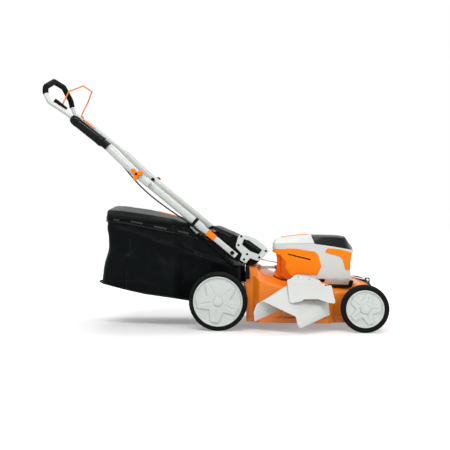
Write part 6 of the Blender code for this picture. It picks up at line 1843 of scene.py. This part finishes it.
def make_bag_frame():
    """The rod round the neck, its ribbed sleeves and the grey fittings that hold it to the cover."""
    y = BAG_NECK + 0.0045
    half = [Vector((x, -y, bag_roof(x) - 0.006)) for x in (-0.098, -0.043, 0.055)]
    half.append(Vector((BAG_MOUTH + 0.005, -y, bag_roof(BAG_MOUTH) - 0.006)))
    path = half + [Vector((p.x, -p.y, p.z)) for p in reversed(half)]
    piece("bag_wire", sweep(fillet(path, 0.014, 6, closed=False), 0.004, 20), GLOSS, "grass_bag", "bag_frame",
          sharp=60)
    sleeves, fittings = [], []
    for side in (-1, 1):
        steps = [-0.085 + 0.135 * k / 135 for k in range(136)]
        line = [(x, side * y, bag_roof(x) - 0.006) for x in steps]
        sleeves.append(sweep(line, [0.0066 if k % 4 < 2 else 0.0055 for k in range(136)], 16))
        block = soft_box((-0.0225, -0.0045, -0.0070), (0.0225, 0.0045, 0.0070), 0.0028, 3)
        ribs = [soft_box((x - 0.0010, -0.0054, -0.0058), (x + 0.0010, 0.0054, 0.0058), 0.0006, 1)
                for x in (-0.014, -0.007, 0.0, 0.007, 0.014)]
        whole = join(block, *ribs)
        whole.transform(Matrix.Translation((-0.1135, side * 0.1515,
                                            0.4265)) @ Matrix.Rotation(math.radians(45), 4, "Y"))
        fittings.append(whole)
    piece("bag_wire_sleeves", join(*sleeves), BLACK, "grass_bag", (), sharp=60)
    piece("bag_wire_fittings", join(*fittings), PALE_RIBS, "grass_bag", (), sharp=45)


make_bag_frame()


# Working parts: battery, safety key, motor, blade, axles and the height linkage
MOTOR = middle("motor_rotor") - ORIGIN


def about_motor(bm):
    return shifted(bm, Matrix.Translation((MOTOR.x, MOTOR.y, 0.0)))


def make_battery():
    low, high = (Vector(c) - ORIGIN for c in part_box("battery_pack"))
    softened("battery_pack", 0.0012, BLACK, "chassis", 2, angle=20)
    ribs = []
    for k in range(7):
        x = low.x + 0.052 + 0.009 * k
        ribs.append(soft_box((x - 0.0014, low.y + 0.014, high.z - 0.001),
                             (x + 0.0014, high.y - 0.014, high.z + 0.0012), 0.0006, 2))
    for side in (low.y, high.y):
        for k in range(4):
            z = low.z + 0.066 + 0.008 * k
            ribs.append(soft_box((low.x + 0.018, side - 0.0010, z - 0.0014),
                                 (high.x - 0.018, side + 0.0010, z + 0.0014), 0.0005, 2))
    clasp = soft_box((low.x + 0.0175, -0.0175, high.z - 0.0130), (low.x + 0.0425, 0.0175, high.z - 0.0060),
                     0.0015, 3)
    # The battery's ribs take the same grey of painted highlights.
    piece("battery_ribs", join(*ribs), RIB_PAINTED_HIGHLIGHT, "chassis", (), sharp=40)
    piece("battery_clasp", clasp, ORANGE, "chassis", (), sharp=40)
    softened("safety_key", 0.0012, ORANGE, "chassis", 3)


def make_motor():
    low, high = (Vector(c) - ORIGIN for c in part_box("motor_stator"))
    outer = (high.x - low.x) / 2
    core = [(0.0325, low.z + 0.006), (outer, low.z + 0.006), (outer, high.z - 0.006),
            (0.0325, high.z - 0.006)]
    lamination = turned(core, 72, closed=True)
    foot = turned([(0.022, low.z), (outer - 0.004, low.z), (outer - 0.004, low.z + 0.0062),
                   (0.022, low.z + 0.0062)], 64,
                  closed=True)
    piece("stator_core", about_motor(join(lamination, foot)), STEEL, "chassis", (), sharp=40)
    coils = []
    for k in range(12):
        coil = soft_box((0.0335, -0.0062, low.z + 0.0062), (outer - 0.005, 0.0062, high.z), 0.0035, 4)
        coil.transform(Matrix.Rotation(2 * math.pi * k / 12, 4, "Z"))
        coils.append(coil)
    piece("stator_coils", about_motor(join(*coils)), COPPER, "chassis", "motor_stator", sharp=50)
    softened("motor_rotor", 0.0008, STEEL, "blade_set", 2)


def make_cutter():
    softened("blade_carrier", 0.0008, STEEL, "blade_set", 2)
    softened("blade", 0.0005, STEEL, "blade_set", 2)
    low, high = (Vector(c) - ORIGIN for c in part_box("blade"))
    edges = []
    for side in (-1, 1):
        ends = side_span(side, 0.112, 0.205)
        strip = soft_box((ends[0], side * ((high.y - low.y) / 2 - 0.0045) - 0.0035, low.z - 0.0001),
                         (ends[1], side * ((high.y - low.y) / 2 - 0.0045) + 0.0035, low.z + 0.0012), 0.0004,
                         1)
        edges.append(strip)
    piece("blade_ground_edges", about_motor(join(*edges)), ZINC, "blade_set", (), sharp=30)
    softened("blade_bolt", 0.0010, DARK_STEEL, "blade_set", 3)


def make_linkage():
    for end in ("rear", "front"):
        softened(f"{end}_axle", 0.0012, DARK_STEEL, f"{end}_axle_set", 3)
    softened("height_tie_rod", 0.0003, ZINC, "tie_rod", 1, angle=60)
    for word in ("right", "left"):
        softened(f"crank_bolt_{word}", 0.0008, ZINC, "chassis", 3)
    softened("lid_hinge_pin", 0.0003, STEEL, "chassis", 2)
    softened("side_flap_pin", 0.0004, STEEL, "chassis", 2)


make_battery()
make_motor()
make_cutter()
make_linkage()


# Studio
# Glow of the floor for the camera, from near a point under the bag to far out: weaker near it as a painted
# shadow round the mower, stronger further out so that the floor turns white.
FLOOR_GLOW_PAINTED_SHADOW = (0.22, 0.70)
WORLD_LIGHT = 0.50
LAMPS = (
    # name, place, aim, size, power
    ("overhead", (0.05, 1.25, 2.35), (0.00, -0.05, 0.2), (3.0, 1.8), 41.0),
    ("front_top", (-0.40, -1.90, 2.20), (0.05, 0.0, 0.25), (2.2, 0.30), 32.0),
    ("front_right", (1.90, -2.20, 1.20), (0.30, 0.0, 0.25), (0.30, 1.6), 18.0),
)


def studio():
    floor = bpy.data.meshes.new("floor")
    bm = bmesh.new()
    bmesh.ops.create_grid(bm, x_segments=1, y_segments=1, size=30.0)
    bm.to_mesh(floor)
    bm.free()
    made, tree, shader = new_material("studio_floor")
    ground = noise_of(tree, place_of(tree), 3.0, 3.0)
    pale = ramp_of(tree, ground, ((0.3, (0.80, 0.80, 0.80)), (0.7, (0.83, 0.83, 0.83))))
    # The floor glows for the camera, less near a point under the bag: a painted shadow round the mower.
    rays = add_node(tree, "ShaderNodeLightPath")
    away = add_node(tree, "ShaderNodeVectorMath", operation="SUBTRACT")
    tree.links.new(place_of(tree), away.inputs[0])
    away.inputs[1].default_value = ORIGIN + Vector((-0.35, 0.0, 0.0))
    reach = add_node(tree, "ShaderNodeVectorMath", operation="LENGTH")
    tree.links.new(away.outputs[0], reach.inputs[0])
    fade = range_of(tree, reach.outputs["Value"], FLOOR_GLOW_PAINTED_SHADOW[0], FLOOR_GLOW_PAINTED_SHADOW[1], 0.35, 2.4)
    seen = maths(tree, "MULTIPLY", rays.outputs["Is Camera Ray"], fade)
    dress(tree, shader, Base_Color=pale, Roughness=0.9, Specular_IOR_Level=0.0, Emission_Color=(1, 1, 1, 1),
          Emission_Strength=seen)
    floor.materials.append(made)
    ground = bpy.data.objects.new("studio_floor", floor)
    bpy.context.collection.objects.link(ground)
    ground.location.z = -0.0004

    world = bpy.data.worlds.new("studio")
    bpy.context.scene.world = world
    world.use_nodes = True
    tree = world.node_tree
    tree.nodes.clear()
    rays = add_node(tree, "ShaderNodeLightPath")
    seen = maths(tree, "MAXIMUM", rays.outputs["Is Camera Ray"], rays.outputs["Is Transmission Ray"])
    every = maths(tree, "MAXIMUM", seen, rays.outputs["Is Glossy Ray"])
    strength = range_of(tree, every, WORLD_LIGHT, 1.0, 0.0, 1.0)
    back = add_node(tree, "ShaderNodeBackground", Color=(1, 1, 1, 1), Strength=strength)
    add_node(tree, "ShaderNodeOutputWorld", Surface=back.outputs[0])

    for name, place, aim, size, power in LAMPS:
        lamp = bpy.data.lights.new(name, "AREA")
        lamp.shape = "RECTANGLE"
        lamp.size, lamp.size_y = size
        lamp.energy = power
        item = bpy.data.objects.new(name, lamp)
        bpy.context.collection.objects.link(item)
        item.location = ORIGIN + Vector(place)
        item.rotation_mode = "QUATERNION"
        item.rotation_quaternion = (ORIGIN + Vector(aim) - item.location).to_track_quat("-Z", "Y")

    camera = bpy.data.cameras.new("camera")
    camera.lens = 55.2
    camera.sensor_width = 36.0
    camera.shift_y = -3 / 450
    camera.clip_end = 100.0
    item = bpy.data.objects.new("camera", camera)
    bpy.context.collection.objects.link(item)
    item.location = ORIGIN + Vector((0.2934, -3.1503, 0.4596))
    item.rotation_euler = (math.radians(90), 0.0, math.radians(5.2))
    bpy.context.scene.camera = item


studio()
bpy.context.scene.view_settings.view_transform = "Standard"
